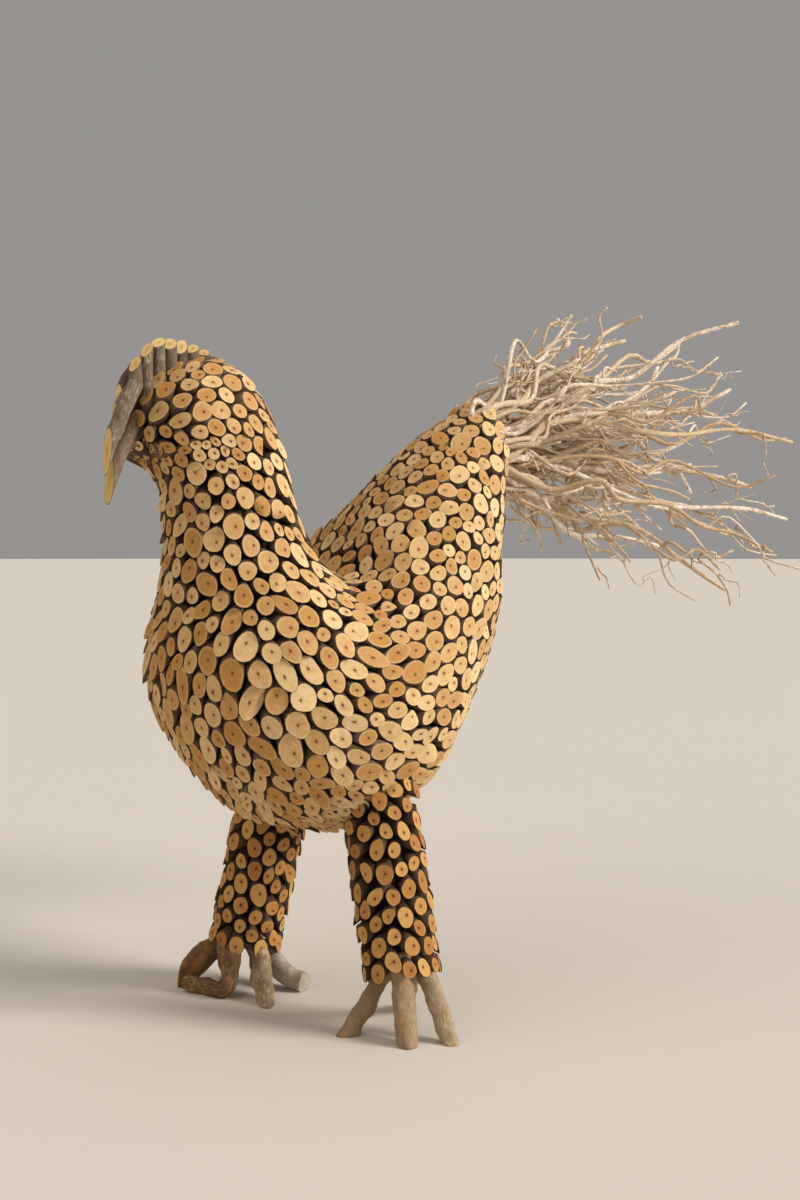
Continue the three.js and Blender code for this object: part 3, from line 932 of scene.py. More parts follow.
@dataclass
class Workshop:
    """Makes objects out of forms, at the bird's place in the row's frame.

    Attributes:
        shift: Place of the bird's own frame in the row's frame.
        materials: The materials made so far, by name.
    """

    shift: Array
    materials: dict[str, bpy.types.Material] = field(default_factory=dict)

    def material(self, finish: SawnWood | Bark | ShadedHollow | Plain) -> bpy.types.Material:
        """Returns the material of a finish, made once."""
        if finish.name not in self.materials:
            self.materials[finish.name] = finish.make()
        return self.materials[finish.name]

    def piece(
        self,
        name: str,
        form: Form,
        finishes: Sequence[SawnWood | Bark | ShadedHollow],
        wood: Wood,
        nodes: Sequence[str],
        which: Array | None = None,
    ) -> bpy.types.Object:
        """Makes one piece of the bird.

        Args:
            name: The object's name.
            form: Its shape.
            finishes: Its finishes, bark first and sawn wood second.
            wood: The record's slot of its kind of wood; not used.
            nodes: The solids that it stands for.
            which: Number of the finish of each face, where bark and sawn wood aren't all.

        Returns:
            The object.
        """
        mesh = bpy.data.meshes.new(name)
        is_quad = form.faces[:, 3] >= 0
        order = np.concatenate([np.flatnonzero(is_quad), np.flatnonzero(~is_quad)])
        quads = form.faces[is_quad].tolist()
        triangles = form.faces[~is_quad][:, :3].tolist()
        mesh.from_pydata((form.points + self.shift).tolist(), [], quads + triangles)
        numbers = form.sawn.astype(np.int32) if which is None else which
        mesh.polygons.foreach_set("material_index", numbers[order].astype(np.int32))
        mesh.polygons.foreach_set("use_smooth", np.ones(len(order), bool))
        for label, kind, key, values in (
            ("twig_place", "FLOAT_VECTOR", "vector", form.place),
            ("twig_tone", "FLOAT_VECTOR", "vector", form.tone),
            ("twig_edge", "FLOAT", "value", form.edge),
        ):
            layer = mesh.attributes.new(label, kind, "POINT")
            layer.data.foreach_set(key, values.astype(np.float32).ravel())
        ends = np.zeros(len(mesh.edges) * 2, np.int32)
        mesh.edges.foreach_get("vertices", ends)
        at_rim = self.sharp_points(form)
        mesh.edges.foreach_set("use_edge_sharp", at_rim[ends.reshape(-1, 2)].all(axis=1))
        for finish in finishes:
            mesh.materials.append(self.material(finish))
        mesh.update()
        made = bpy.data.objects.new(name, mesh)
        bpy.context.scene.collection.objects.link(made)
        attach(made, BODY)
        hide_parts(*nodes)
        log.info("%s: %d points, %d faces, stands for %d solids", name, len(mesh.vertices), len(order), len(nodes))
        return made

    @staticmethod
    def sharp_points(form: Form) -> Array:
        """Returns which points lie on the line between bark and a sawn face."""
        on_sawn = np.zeros(len(form.points), bool)
        on_bark = np.zeros(len(form.points), bool)
        for flag, mask in ((on_sawn, form.sawn), (on_bark, ~form.sawn)):
            used = form.faces[mask].ravel()
            flag[used[used >= 0]] = True
        return on_sawn & on_bark


# The skin that the sawn ends are set in


@dataclass
class Skin:
    """Sample points spread over a surface.

    Attributes:
        points: Places in the bird's own frame.
        normals: Directions out of the surface.
        flow: Directions along the surface in which the sticks lean.
        areas: Surface that each sample stands for.
        share: Share of the way along the surface, from its first row to its last.
    """

    points: Array
    normals: Array
    flow: Array
    areas: Array
    share: Array

    @classmethod
    def of(cls, rows: Array, steps: int, sides: int) -> "Skin":
        """Skin through oval rings.

        A point is centre + rise * cos a + reach * sin a, where the three follow smooth curves
        through the rows.

        Args:
            rows: Centre, rise and reach of each ring, as (rings, 9).
            steps: Samples along the surface.
            sides: Samples around it.

        Returns:
            The skin.
        """
        curve = spline(rows, steps)
        centre, rise, reach = curve[:, None, 0:3], curve[:, None, 3:6], curve[:, None, 6:9]
        angle = (2 * np.pi * np.arange(sides) / sides)[None, :, None]
        grid = centre + rise * np.cos(angle) + reach * np.sin(angle)
        around = (np.roll(grid, -1, axis=1) - np.roll(grid, 1, axis=1)) / 2
        onward = np.gradient(grid, axis=0)
        cross = np.cross(around, onward)
        normals = unit(cross)
        flow = unit(onward - dots(onward, normals) * normals)
        share = np.repeat(np.linspace(0, 1, steps), sides)
        areas = np.linalg.norm(cross, axis=-1)
        return cls(grid.reshape(-1, 3), normals.reshape(-1, 3), flow.reshape(-1, 3), areas.ravel(), share)


@dataclass
class Planting:
    """Where sticks go on a skin.

    Attributes:
        radius: Radius of a usual stick at each sample.
        stretch: Length over width of a sawn face at each sample.
        cover: Share of the skin that the sawn faces take up at each sample.
        open: Whether a stick may stand at each sample.
        variety: How far the sticks' sizes differ, as the spread of their logarithm.
        seed: Which random pattern.
        rounds: How often the sticks settle to the middle of their cells.
        pushes: How often they then push each other apart.
        room: How far apart two faces still push, as a share of the distance at which they touch.
        gap: Least gap between two faces.
        growth: Most that a stick grows to fill its place.
    """

    radius: Array
    stretch: Array
    cover: Array
    open: Array
    variety: float
    seed: int
    rounds: int = 5
    pushes: int = 90
    room: float = 1.25
    gap: float = 0.3 * MM
    growth: float = 1.14

    def settle(self, skin: Skin) -> tuple[Array, Array, Array]:
        """Spreads sticks over the skin until they are packed evenly.

        A sample belongs to the stick whose rim is nearest, measured with the way along the
        flow shortened by the stretch. Each stick moves to the middle of what belongs to it.

        Args:
            skin: The skin to plant.

        Returns:
            The number of the sample nearest to each stick, the stick's place and its radius.
        """
        rng = np.random.default_rng(self.seed)
        open_ones = np.flatnonzero(self.open)
        places = skin.points[open_ones].astype(np.float32)
        areas = skin.areas[open_ones]
        mean_square = np.exp(2 * self.variety**2)
        faces = np.pi * self.radius**2 * self.stretch * mean_square
        weights = areas * (self.cover / faces)[open_ones]
        count = int(round(weights.sum()))
        chosen = rng.choice(len(open_ones), count, replace=False, p=weights / weights.sum())
        sizes = np.exp(rng.normal(scale=self.variety, size=count)).clip(0.66, 1.26)
        for _ in range(self.rounds):
            own = self.cells(places, skin, open_ones, chosen, sizes)
            pull = areas * weights / areas.clip(1e-12)
            total = np.bincount(own, pull, count)
            middles = np.stack([np.bincount(own, pull * places[:, k], count) for k in range(3)], -1)
            filled = total > 0
            middles[filled] /= total[filled, None]
            middles[~filled] = places[chosen[~filled]]
            chosen = nearest(middles.astype(np.float32), places)
        return self.push_apart(skin, open_ones, chosen, sizes, rng)

    def spacing(self, skin: Skin, spots: Array, centre: Array) -> tuple[Array, Array]:
        """How sticks stand to each other.

        Args:
            skin: The skin.
            spots: The number of the sample nearest to each stick.
            centre: The sticks' places.

        Returns:
            The ways from each stick to each other one, and their distances with the way along
            the flow shortened by the stretch.
        """
        ways = centre[None] - centre[:, None]
        onward = (ways * skin.flow[spots][:, None]).sum(-1)
        shorten = 1 - 1 / self.stretch[spots][:, None] ** 2
        distances = np.sqrt(np.maximum((ways**2).sum(-1) - shorten * onward**2, 1e-12))
        np.fill_diagonal(distances, 1.0)
        return ways, distances

    def push_apart(
        self, skin: Skin, open_ones: Array, chosen: Array, sizes: Array, rng: np.random.Generator
    ) -> tuple[Array, Array, Array]:
        """Lets the sticks push each other apart, then fits each to the place that it has.

        Two sticks push by (reach - distance) / 4, where the reach is the sum of their radii
        times the room. A stick then returns to the plane of the nearest open sample, and no
        further from it than the samples lie apart.

        Args:
            skin: The skin.
            open_ones: Numbers of the open samples.
            chosen: Which open sample is under each stick.
            sizes: Each stick's own share of the usual radius.
            rng: Random numbers.

        Returns:
            The number of the sample nearest to each stick, the stick's place and its radius.
        """
        places = skin.points[open_ones].astype(np.float32)
        centre = skin.points[open_ones[chosen]]
        for turn in range(self.pushes):
            spots = open_ones[chosen]
            radii = self.radius[spots] * sizes
            ways, distances = self.spacing(skin, spots, centre)
            reach = (radii[:, None] + radii[None]) * self.room
            push = np.maximum(0, reach - distances) * 0.25 / distances
            centre = centre - (ways * push[..., None]).sum(axis=1)
            centre += rng.normal(scale=0.4 * MM * (1 - turn / self.pushes), size=centre.shape)
            chosen = nearest(centre.astype(np.float32), places)
            sample, normal = places[chosen], skin.normals[open_ones[chosen]]
            off = centre - sample
            off -= dots(off, normal) * normal
            far = np.linalg.norm(off, axis=-1, keepdims=True)
            centre = sample + off * np.minimum(1, 3.5 * MM / np.maximum(far, 1e-9))
        spots = open_ones[chosen]
        radii = usual = self.radius[spots] * sizes
        _, distances = self.spacing(skin, spots, centre)
        for _ in range(6):
            share = radii[:, None] / (radii[:, None] + radii[None])
            most = ((distances - self.gap) * share).min(axis=1)
            radii = 0.4 * radii + 0.6 * np.clip(most, 0.62 * usual, self.growth * usual)
        return spots, centre, radii

    def cells(self, places: Array, skin: Skin, open_ones: Array, chosen: Array, sizes: Array) -> Array:
        """Returns the number of the stick that each open sample belongs to."""
        centre = places[chosen]
        flow = skin.flow[open_ones[chosen]].astype(np.float32)
        radius = (self.radius[open_ones[chosen]] * sizes).astype(np.float32)
        shorten = (1 - 1 / self.stretch[open_ones[chosen]] ** 2).astype(np.float32)
        own = np.empty(len(places), int)
        for start in range(0, len(places), 4000):
            part = places[start:start + 4000]
            square = (part**2).sum(-1)[:, None] - 2 * part @ centre.T + (centre**2).sum(-1)
            onward = part @ flow.T - (centre * flow).sum(-1)
            distance = np.sqrt(np.maximum(square - shorten * onward**2, 0))
            own[start:start + 4000] = (distance - radius).argmin(axis=1)
        return own


def nearest(wanted: Array, places: Array) -> Array:
    """Returns the number of the place nearest to each wanted point."""
    found = np.empty(len(wanted), int)
    for start in range(0, len(wanted), 400):
        part = wanted[start:start + 400]
        square = (places**2).sum(-1) - 2 * part @ places.T
        found[start:start + 400] = square.argmin(axis=1)
    return found


def distance_to(points: Array, start: Array, end: Array) -> Array:
    """Returns how far each point is from the straight line between two points."""
    way = end - start
    share = np.clip((points - start) @ way / (way @ way), 0, 1)
    return np.linalg.norm(points - start - share[:, None] * way, axis=-1)


def inner_wall(rows: Array, steps: int, sides: int, inset: float) -> Form:
    """The sheet that closes the crevices between the sticks; it is finished near-black as painted shade.

    A point is centre + (rise * cos a + reach * sin a) * (1 - inset / size), where size is the
    shorter of the two half axes and the factor stays above 0.4.

    Args:
        rows: Centre, rise and reach of each ring, as (rings, 9).
        steps: Rows of points.
        sides: Points around.
        inset: How far it lies below the skin.

    Returns:
        The closed surface.
    """
    curve = spline(rows, steps)
    centre, rise, reach = curve[:, 0:3], curve[:, 3:6], curve[:, 6:9]
    size = np.minimum(np.linalg.norm(rise, axis=-1), np.linalg.norm(reach, axis=-1))
    factor = np.maximum(1 - inset / np.maximum(size, inset), 0.4)[:, None, None]
    angle = (2 * np.pi * np.arange(sides) / sides)[None, :, None]
    grid = centre[:, None] + factor * (rise[:, None] * np.cos(angle) + reach[:, None] * np.sin(angle))
    inner = grid[2:-2]
    points = np.concatenate([centre[1:2], inner.reshape(-1, 3), centre[-3:-2]])
    faces = ring_faces(len(inner), sides, 1)
    zeros = np.zeros((len(points), 3))
    return Form(points, faces, np.zeros(len(faces), bool), zeros, zeros, zeros[:, 0])


@dataclass(frozen=True)
class Lean:
    """How the sticks stand in the skin, for each of them.

    Attributes:
        lean: Angle between a stick and the direction out of the skin.
        tilt: How far the far edge of its face is lifted out of the skin, as an angle.
        stand: How far the middle of the face lies above the skin.
        steepest: Greatest angle between a stick and the direction that its face looks in.
    """

    lean: Array
    tilt: Array
    stand: Array
    steepest: float = 1.15

    def plant(
        self,
        skin: Skin,
        spots: Array,
        places: Array,
        radii: Array,
        tone: Array,
        shape: StickShape,
        seed: int,
    ) -> Form:
        """Sets the sticks into the skin.

        A stick's axis is normal * cos lean + flow * sin lean, and the normal of its face is
        normal * cos tilt - flow * sin tilt.

        Args:
            skin: The skin.
            spots: The number of the sample nearest to each stick.
            places: The sticks' places in the skin.
            radii: The sticks' radii.
            tone: Three random numbers for each stick.
            shape: How a stick is made.
            seed: Which random pattern.

        Returns:
            One form with all the sticks.
        """
        rng = np.random.default_rng(seed)
        normal, flow = skin.normals[spots], skin.flow[spots]
        turn = rng.normal(scale=0.32, size=(len(spots), 1))
        flow = unit(flow * np.cos(turn) + np.cross(normal, flow) * np.sin(turn))
        side_tilt = rng.normal(scale=0.05, size=(len(spots), 1)) * np.cross(normal, flow)
        tilt = self.tilt[:, None]
        lean = np.minimum(self.lean[:, None], self.steepest - tilt)
        axes = unit(normal * np.cos(lean) + flow * np.sin(lean))
        cuts = unit(normal * np.cos(tilt) - flow * np.sin(tilt) + side_tilt)
        centres = places + normal * self.stand[:, None]
        return shape.cut(centres, axes, cuts, radii, tone, seed + 1)


# Sub-assemblies


@dataclass(frozen=True)
class Chin:
    """Short twigs that lie side by side under the chin.

    Attributes:
        back: Their hind ends, thousandths forward and up.
        front: Their sawn front ends.
        right: How far to the right the first one lies.
        left: How far to the left the last one lies.
        count: How many twigs.
        diameter: Thickness of a twig.
    """

    back: tuple[float, float] = (284, 822)
    front: tuple[float, float] = (344, 846)
    right: float = 28 * MM
    left: float = 16 * MM
    count: int = 9
    diameter: float = 6.2 * MM

    def grow(self) -> Form:
        """Returns the twigs. Each runs straight from back to front, at its own place across."""
        rng = np.random.default_rng(61)
        across = np.linspace(-self.right, self.left, self.count)[:, None, None] * LEFT
        middle = 1 - (np.linspace(-1, 1, self.count)[:, None] ** 2) * 0.35
        start, end = at((*self.back, 0)), at((*self.front, 0))
        reach = (middle + rng.normal(scale=0.05, size=(self.count, 1)))[..., None]
        share = np.linspace(0, 1, 6)[None, :, None]
        paths = start + (end - start) * share * reach + across
        paths += rng.normal(scale=0.5 * MM, size=(self.count, 1, 3))
        radii = self.diameter / 2 * rng.uniform(0.85, 1.15, (self.count, 1)) * np.ones((1, 6))
        cuts = unit(FRONT + rng.normal(scale=0.25, size=(self.count, 3)))
        return TwigShape(sides=12).grow(paths, radii, np.tile(UP, (self.count, 1)), 62, cuts)


@dataclass
class Trunk:
    """Body, neck, head and tail stump, clad in sawn ends.

    Attributes:
        rows: Outline from the brow round the breast to the stump. Forward and up of the top
            edge, forward and up of the under edge, and half width.
        head_radius: Radius of the sticks on the head.
        neck_radius: Radius of the sticks on the neck.
        breast_radius: Radius of the sticks on the breast.
        flank_radius: Radius of the thick sticks across each flank.
        flank: Ends of the band of thick sticks, thousandths forward, up and out.
        rump_radius: Radius of the sticks on the rump and stump.
        belly_radius: Radius of the sticks under the belly.
        brow_rise: How far the sticks next to the comb and the beak stand out.
        chin: The twigs under the chin.
        inset: Depth of the crevices.
        shape: How a stick is made.
    """

    rows: tuple[tuple[float, ...], ...] = (
        (332, 880, 332, 880, 0),
        (326, 904, 324, 848, 30),
        (308, 930, 310, 822, 56),
        (272, 960, 296, 804, 74),
        (212, 976, 282, 780, 78),
        (146, 940, 274, 744, 84),
        (100, 856, 272, 692, 92),
        (84, 776, 274, 624, 108),
        (66, 716, 280, 540, 144),
        (34, 680, 262, 456, 176),
        (0, 668, 206, 376, 198),
        (-28, 684, 136, 310, 208),
        (-54, 714, 40, 278, 210),
        (-84, 748, -60, 276, 204),
        (-124, 784, -156, 326, 190),
        (-208, 858, -280, 480, 151),
        (-254, 892, -314, 580, 121),
        (-296, 916, -340, 676, 98),
        (-342, 942, -374, 800, 69),
    )
    head_radius: float = 5.9 * MM
    neck_radius: float = 6.4 * MM
    breast_radius: float = 6.9 * MM
    flank_radius: float = 8.3 * MM
    flank: tuple[tuple[float, float, float], ...] = ((250, 566, 170), (140, 400, 200))
    rump_radius: float = 6.5 * MM
    belly_radius: float = 5.5 * MM
    brow_rise: float = 4.5 * MM
    chin: Chin = field(default_factory=Chin)
    inset: float = 8.5 * MM
    shape: StickShape = StickShape()

    def rings(self) -> Array:
        """Returns centre, rise and reach of each ring, as (rings, 9)."""
        table = np.array(self.rows, float)
        none = np.zeros(len(table))
        top = at(np.stack([table[:, 0], table[:, 1], none], -1))
        under = at(np.stack([table[:, 2], table[:, 3], none], -1))
        reach = at(np.stack([none, none, table[:, 4]], -1))
        return np.concatenate([(top + under) / 2, (top - under) / 2, reach], axis=-1)

    def stump(self) -> tuple[Array, Array, Array, Array]:
        """Returns centre, rise, reach and outward normal of the stump's end."""
        last = self.rings()[-1]
        centre, rise, reach = last[0:3], last[3:6], last[6:9]
        return centre, rise, reach, unit(np.cross(rise, reach))

    def regions(self, skin: Skin) -> dict[str, Array]:
        """Returns how much of each region of the trunk every sample is."""
        forward, height = -skin.points[:, 1], skin.points[:, 2]
        down = -skin.normals[:, 2]
        mirrored = skin.points * [[1, 1, 1]]
        mirrored[:, 0] = np.abs(mirrored[:, 0])
        start, end = (at(point) for point in self.flank)
        return {
            "flank": smooth(30 * MM, 12 * MM, distance_to(mirrored, start, end)),
            "patches": lumps(skin.points, 42 * MM, 7),
            "neck": smooth(0.26, 0.31, height) * smooth(-0.02, 0.02, forward),
            "head": smooth(0.385, 0.41, height) * smooth(-0.02, 0.02, forward),
            "brow": smooth(0.128, 0.158, forward) * smooth(0.40, 0.425, height),
            "jaw": smooth(0.404, 0.412, height) * smooth(0.434, 0.426, height) * smooth(0.10, 0.12, forward),
            "belly": smooth(0.35, 0.8, down) * smooth(0.26, 0.2, height),
            "rump": smooth(-0.01, -0.07, forward),
            "saddle": smooth(0.25, 0.8, -down) * smooth(0.40, 0.35, height),
        }

    def build(self, shop: Workshop, clear: Callable[[Array], Array]) -> None:
        """Makes the trunk.

        Args:
            shop: Where pieces are made.
            clear: Says which points are clear of the comb and the beak.
        """
        skin = Skin.of(self.rings(), steps=250, sides=116)
        part = self.regions(skin)
        rng = np.random.default_rng(11)

        radius = np.full(len(skin.points), self.breast_radius)
        radius *= 1 + 0.10 * part["patches"].clip(-1.5, 1)
        radius += (self.flank_radius - radius) * part["flank"]
        radius += (self.neck_radius - radius) * part["neck"]
        radius += (self.head_radius - radius) * part["head"]
        radius += (self.rump_radius - radius) * part["rump"]
        radius += (self.belly_radius - radius) * part["belly"]
        radius += (0.66 * self.head_radius - radius) * part["jaw"]
        stretch = 1.38 - 0.16 * part["rump"] + 0.20 * part["belly"] - 0.10 * part["neck"] - 0.16 * part["flank"]
        cover = 0.80 + 0.04 * part["rump"] - 0.04 * part["neck"] + 0.02 * part["saddle"]
        planting = Planting(
            radius=radius,
            stretch=stretch,
            cover=cover,
            open=clear(skin.points) & (skin.areas > 1e-9) & (skin.share < 0.995),
            variety=0.14,
            seed=5,
        )
        spots, places, radii = planting.settle(skin)
        count = len(spots)
        local = {name: values[spots] for name, values in part.items()}
        lean = 0.64 - 0.2 * local["rump"] + 0.12 * local["belly"] - 0.1 * local["neck"]
        leaning = Lean(
            lean=lean + rng.normal(scale=0.08, size=count),
            tilt=rng.normal(0.14, 0.06, count) - 0.05 * local["rump"] + 0.10 * local["belly"],
            stand=rng.normal(-0.5 * MM, 0.55 * MM, count).clip(-2 * MM, 1 * MM) + self.brow_rise * local["brow"],
        )
        tone = rng.uniform(size=(count, 3))
        # Ends facing back and ends on the flank and rump get a paler tone, ends facing forward a darker one: partly
        # the wood's own tone, partly painted light on the back and painted shade on the front.
        ahead = -skin.normals[spots][:, 1]
        pale = 0.5 * smooth(0.5, -0.4, ahead) + 0.7 * local["flank"] + 0.15 * local["rump"]
        tone[:, 0] = np.clip(tone[:, 0] * 0.75 + 0.35 - 0.55 * pale, 0, 1)
        sticks = Form.join(
            [leaning.plant(skin, spots, places, radii, tone, self.shape, seed=21), self.chin.grow()]
        )
        # The wall under the sticks takes a near-black finish: painted shade in the gaps between them.
        wall = inner_wall(self.rings(), 120, 64, self.inset)
        form = Form.join([sticks, wall])
        which = np.concatenate([sticks.sawn.astype(int), np.full(len(wall.faces), 2)])
        finishes = (STICK_BARK, TRUNK_WOOD, CREVICE_SHADE)
        shop.piece("trunk_of_twigs", form, finishes, Wood.SAWN_ENDS, ["body"], which)
        log.info("trunk: %d sticks", count)


class Side(Enum):
    """The two legs, as the sign of their distance to the left."""

    LEFT = 1
    RIGHT = -1


@dataclass
class Leg:
    """One leg, a column clad in sawn ends that lean down.

    Attributes:
        side: Which leg.
        top: Where its middle line enters the trunk.
        foot: Where it ends above the foot.
        radius: Radius over the sawn faces.
        inside: How far the column goes on into the trunk.
        stick_radius: Radius of a usual stick.
        bare: Share of the column above the foot that has no sticks.
        inset: Depth of the crevices.
        shape: How a stick is made.
    """

    side: Side
    top: tuple[float, float, float]
    foot: tuple[float, float, float]
    radius: float = 30.5 * MM
    inside: float = 32 * MM
    stick_radius: float = 5.3 * MM
    bare: float = 0.05
    inset: float = 10.5 * MM
    shape: StickShape = StickShape(depth=9.5 * MM, chipped=0.08, pointed=0.12)

    @property
    def name(self) -> str:
        """The leg's side in a word."""
        return self.side.name.lower()

    def axis(self) -> Array:
        """Returns the direction down the leg."""
        return unit(at(self.foot) - at(self.top))

    def rings(self) -> Array:
        """Returns centre, rise and reach of the column's rings, as (rings, 9)."""
        axis = self.axis()
        rise = unit(LEFT - axis * (LEFT @ axis))
        reach = np.cross(axis, rise)
        start = at(self.top) - axis * self.inside
        middles = start + np.linspace(0, 1, 5)[:, None] * (at(self.foot) - start)
        ones = np.ones((5, 1)) * self.radius
        return np.concatenate([middles, ones * rise, ones * reach], axis=-1)

    def build(self, shop: Workshop, trunk: Callable[[Array], Array]) -> None:
        """Makes the leg.

        Args:
            shop: Where pieces are made.
            trunk: Says how far inside the trunk a point is.
        """
        seed = 40 + self.side.value
        rng = np.random.default_rng(seed)
        skin = Skin.of(self.rings(), steps=150, sides=84)
        planting = Planting(
            radius=np.full(len(skin.points), self.stick_radius),
            stretch=np.full(len(skin.points), 1.2),
            cover=np.full(len(skin.points), 0.57),
            open=(trunk(skin.points) < 4 * MM) & (skin.share < 1 - self.bare),
            variety=0.10,
            seed=seed,
            room=1.4,
            growth=1.05,
        )
        spots, places, radii = planting.settle(skin)
        count = len(spots)
        leaning = Lean(
            lean=rng.normal(0.50, 0.09, count),
            tilt=rng.normal(0.10, 0.06, count),
            stand=rng.normal(-1.8 * MM, 0.7 * MM, count).clip(-3.5 * MM, 0.2 * MM),
        )
        tone = rng.uniform(size=(count, 3))
        sticks = leaning.plant(skin, spots, places, radii, tone, self.shape, seed + 5)
        # The wall under the sticks is finished near-black: painted shade in the gaps between them.
        wall = inner_wall(self.rings(), 60, 40, self.inset)
        form = Form.join([sticks, wall])
        which = np.concatenate([sticks.sawn.astype(int), np.full(len(wall.faces), 2)])
        # The leg's bark and sawn ends are darker, more orange copies of the trunk's: painted shade.
        finishes = (SHADED_LEG_BARK, SHADED_LEG_WOOD, CREVICE_SHADE)
        shop.piece(f"{self.name}_leg_of_twigs", form, finishes, Wood.LEG_ENDS, [f"{self.name}_leg"], which)
        log.info("%s leg: %d sticks", self.name, count)


@dataclass(frozen=True)
class Toe:
    """One toe, a twig from the underside of a leg to the ground.

    Attributes:
        name: Which toe.
        start: Share of the leg's radius forward and left where it starts.
        line: Points of its middle line after that.
        diameter: Its thickness.
        lies: Whether it lies along the ground, not on its end.
        facing: The way the sawn face of one that lies looks, or none where it is square.
        bark: Its bark.
    """

    name: str
    start: tuple[float, float]
    line: tuple[tuple[float, float, float], ...]
    diameter: float
    lies: bool = False
    facing: tuple[float, float, float] | None = None
    bark: Bark = TOE_BARK


THICK, MIDDLE, THIN = 20 * MM, 16 * MM, 12.5 * MM


@dataclass
class Foot:
    """The toes of one leg.

    Attributes:
        leg: The leg that they hold up.
        toes: The toes.
        flare: How much thicker a toe is where it meets the leg.
        tucked: How far its hidden end goes up into the leg.
        rows: Rows of points along a toe.
        shape: How a toe is made.
    """

    leg: Leg
    toes: tuple[Toe, ...]
    flare: float = 0.7
    tucked: float = 17 * MM
    rows: int = 60
    shape: TwigShape = TwigShape(sides=32, oval=0.07, knot_size=11 * MM, knot_height=0.10)

    def root(self, toe: Toe) -> Array:
        """Returns the middle of the toe's upper end."""
        axis = self.leg.axis()
        root = at(self.leg.foot) + axis * FIT_GAP
        for direction, share in zip((FRONT, LEFT), toe.start):
            root = root + unit(direction - axis * (direction @ axis)) * share * self.leg.radius
        return root

    def touch_down(self, toe: Toe) -> Array:
        """Returns where the middle line of a straight toe meets the ground."""
        root, tip = self.root(toe), at(toe.line[-1])
        return root + (tip - root) * (root[2] / (root[2] - tip[2]))

    def build(self, shop: Workshop) -> None:
        """Makes the toes, one piece each."""
        for number, toe in enumerate(self.toes):
            seed = 70 + 10 * self.leg.side.value + number
            root = self.root(toe)
            hidden = root + (at(self.leg.foot) - root) * 0.5 - self.leg.axis() * self.tucked
            if toe.lies:
                knots = np.stack([root, *(at(point) for point in toe.line)])
            else:
                knots = np.stack([root, *(at(point) for point in toe.line[:-1]), self.touch_down(toe)])
            path = spline(np.concatenate([hidden[None], knots]), self.rows)[None]
            cut = -UP
            if toe.lies:
                cut = unit(at(toe.facing)) if toe.facing else unit(path[0, -1] - path[0, -2])
            share = np.linspace(0, 1, self.rows)
            knob = 0.16 * np.exp(-((share - 0.42 - 0.08 * np.sin(2.1 * number)) / 0.055) ** 2)
            swell = 1 + self.flare * smooth(0.55, 0.2, share) + 0.05 * np.sin(9 * share + number) + knob
            swell *= 0.55 + 0.45 * smooth(0.0, 0.24, share)
            radii = (toe.diameter / 2 * swell)[None]
            chord = unit(path[0, -1] - path[0, 0])
            reference = unit(np.cross(chord, [0.3, 0.9, 0.2]))[None]
            form = self.shape.grow(path, radii, reference, seed, cut[None])
            form.points[:, 2] = np.maximum(form.points[:, 2], 0.0)
            name = f"{self.leg.name}_toe_{toe.name}"
            shop.piece(f"{name}_twig", form, (toe.bark, self.end_wood(toe)), Wood.TOE_BARK, [name])

    @staticmethod
    def end_wood(toe: Toe) -> SawnWood | Bark:
        """Returns the finish of a toe's sawn end, which is grey on the pale toe."""
        return toe.bark if toe.bark is PALE_TOE_BARK else CUT_WOOD


@dataclass
class Comb:
    """The row of upright twigs over the head, with slanting tops.

    Attributes:
        diameter: Thickness of a twig.
        count: How many twigs.
        length: Their length, most of it hidden.
        front_length: Length of the one in front.
        solid_slope: How steeply the solids' tops fall to the front.
        slopes: How steeply each twig's top falls.
        turns: How far each top looks from the front to the left.
        middle: Middle of the row, thousandths forward.
        crest: Highest point of the arc, thousandths forward and up.
        drop_forward: How fast the arc falls to the front.
        drop_back: How fast it falls to the back.
        lean: How far the twigs lean, as a share of their length.
        shape: How a twig is made.
    """

    diameter: float = 9.6 * MM
    count: int = 7
    length: float = 42 * MM
    front_length: float = 20 * MM
    solid_slope: float = 0.75
    slopes: tuple[float, ...] = (1.35, 1.15, 0.85, 0.95, 1.1, 0.8, 0.75)
    turns: tuple[float, ...] = (0.3, 0.35, 0.7, 0.78, 0.74, 0.7, 0.72)
    middle: float = 282.0
    crest: tuple[float, float] = (292.0, 992.5)
    drop_forward: float = 0.012
    drop_back: float = 0.0022
    lean: float = 0.04
    shape: TwigShape = TwigShape(sides=24, oval=0.05, knot_size=12 * MM, knot_height=0.045)

    def peaks(self) -> Array:
        """Returns the middle of each twig's top."""
        pitch = self.diameter + FIT_GAP
        numbers = np.arange(self.count)
        forward = self.middle + ((self.count - 1) / 2 - numbers) * pitch / THOUSANDTH
        past = forward - self.crest[0]
        drop = np.where(past > 0, self.drop_forward, self.drop_back)
        return at(np.stack([forward, self.crest[1] - drop * past**2, 0 * forward], -1))

    def feet(self) -> Array:
        """Returns the lower end of each twig's middle line."""
        lengths = np.where(np.arange(self.count) == 0, self.front_length, self.length)[:, None]
        return self.peaks() + lengths * (UP * -1 - FRONT * self.lean)

    def build(self, shop: Workshop) -> None:
        """Makes the twigs, one piece each."""
        rows = 26
        share = np.linspace(0, 1, rows)
        for number, (foot, peak) in enumerate(zip(self.feet(), self.peaks())):
            slope, turn = self.slopes[number], self.turns[number]
            cut = unit((FRONT * np.cos(turn) + LEFT * np.sin(turn)) * slope + UP)
            peak = peak - UP * (slope - self.solid_slope) * self.diameter / 2
            bow = 0.5 * MM * chance(number, 31, -1, 1) * np.sin(np.pi * share)[:, None] * FRONT
            path = (foot + (peak - foot) * share[:, None] + bow)[None]
            size = self.diameter / 2 * (1 + 0.04 * np.sin(5 * share + number))
            form = self.shape.grow(path, size[None], FRONT[None], 90 + number, cut[None])
            name = f"comb_twig_{number + 1}"
            shop.piece(f"{name}_bark", form, (COMB_BARK, CUT_WOOD), Wood.COMB_BARK, [name])


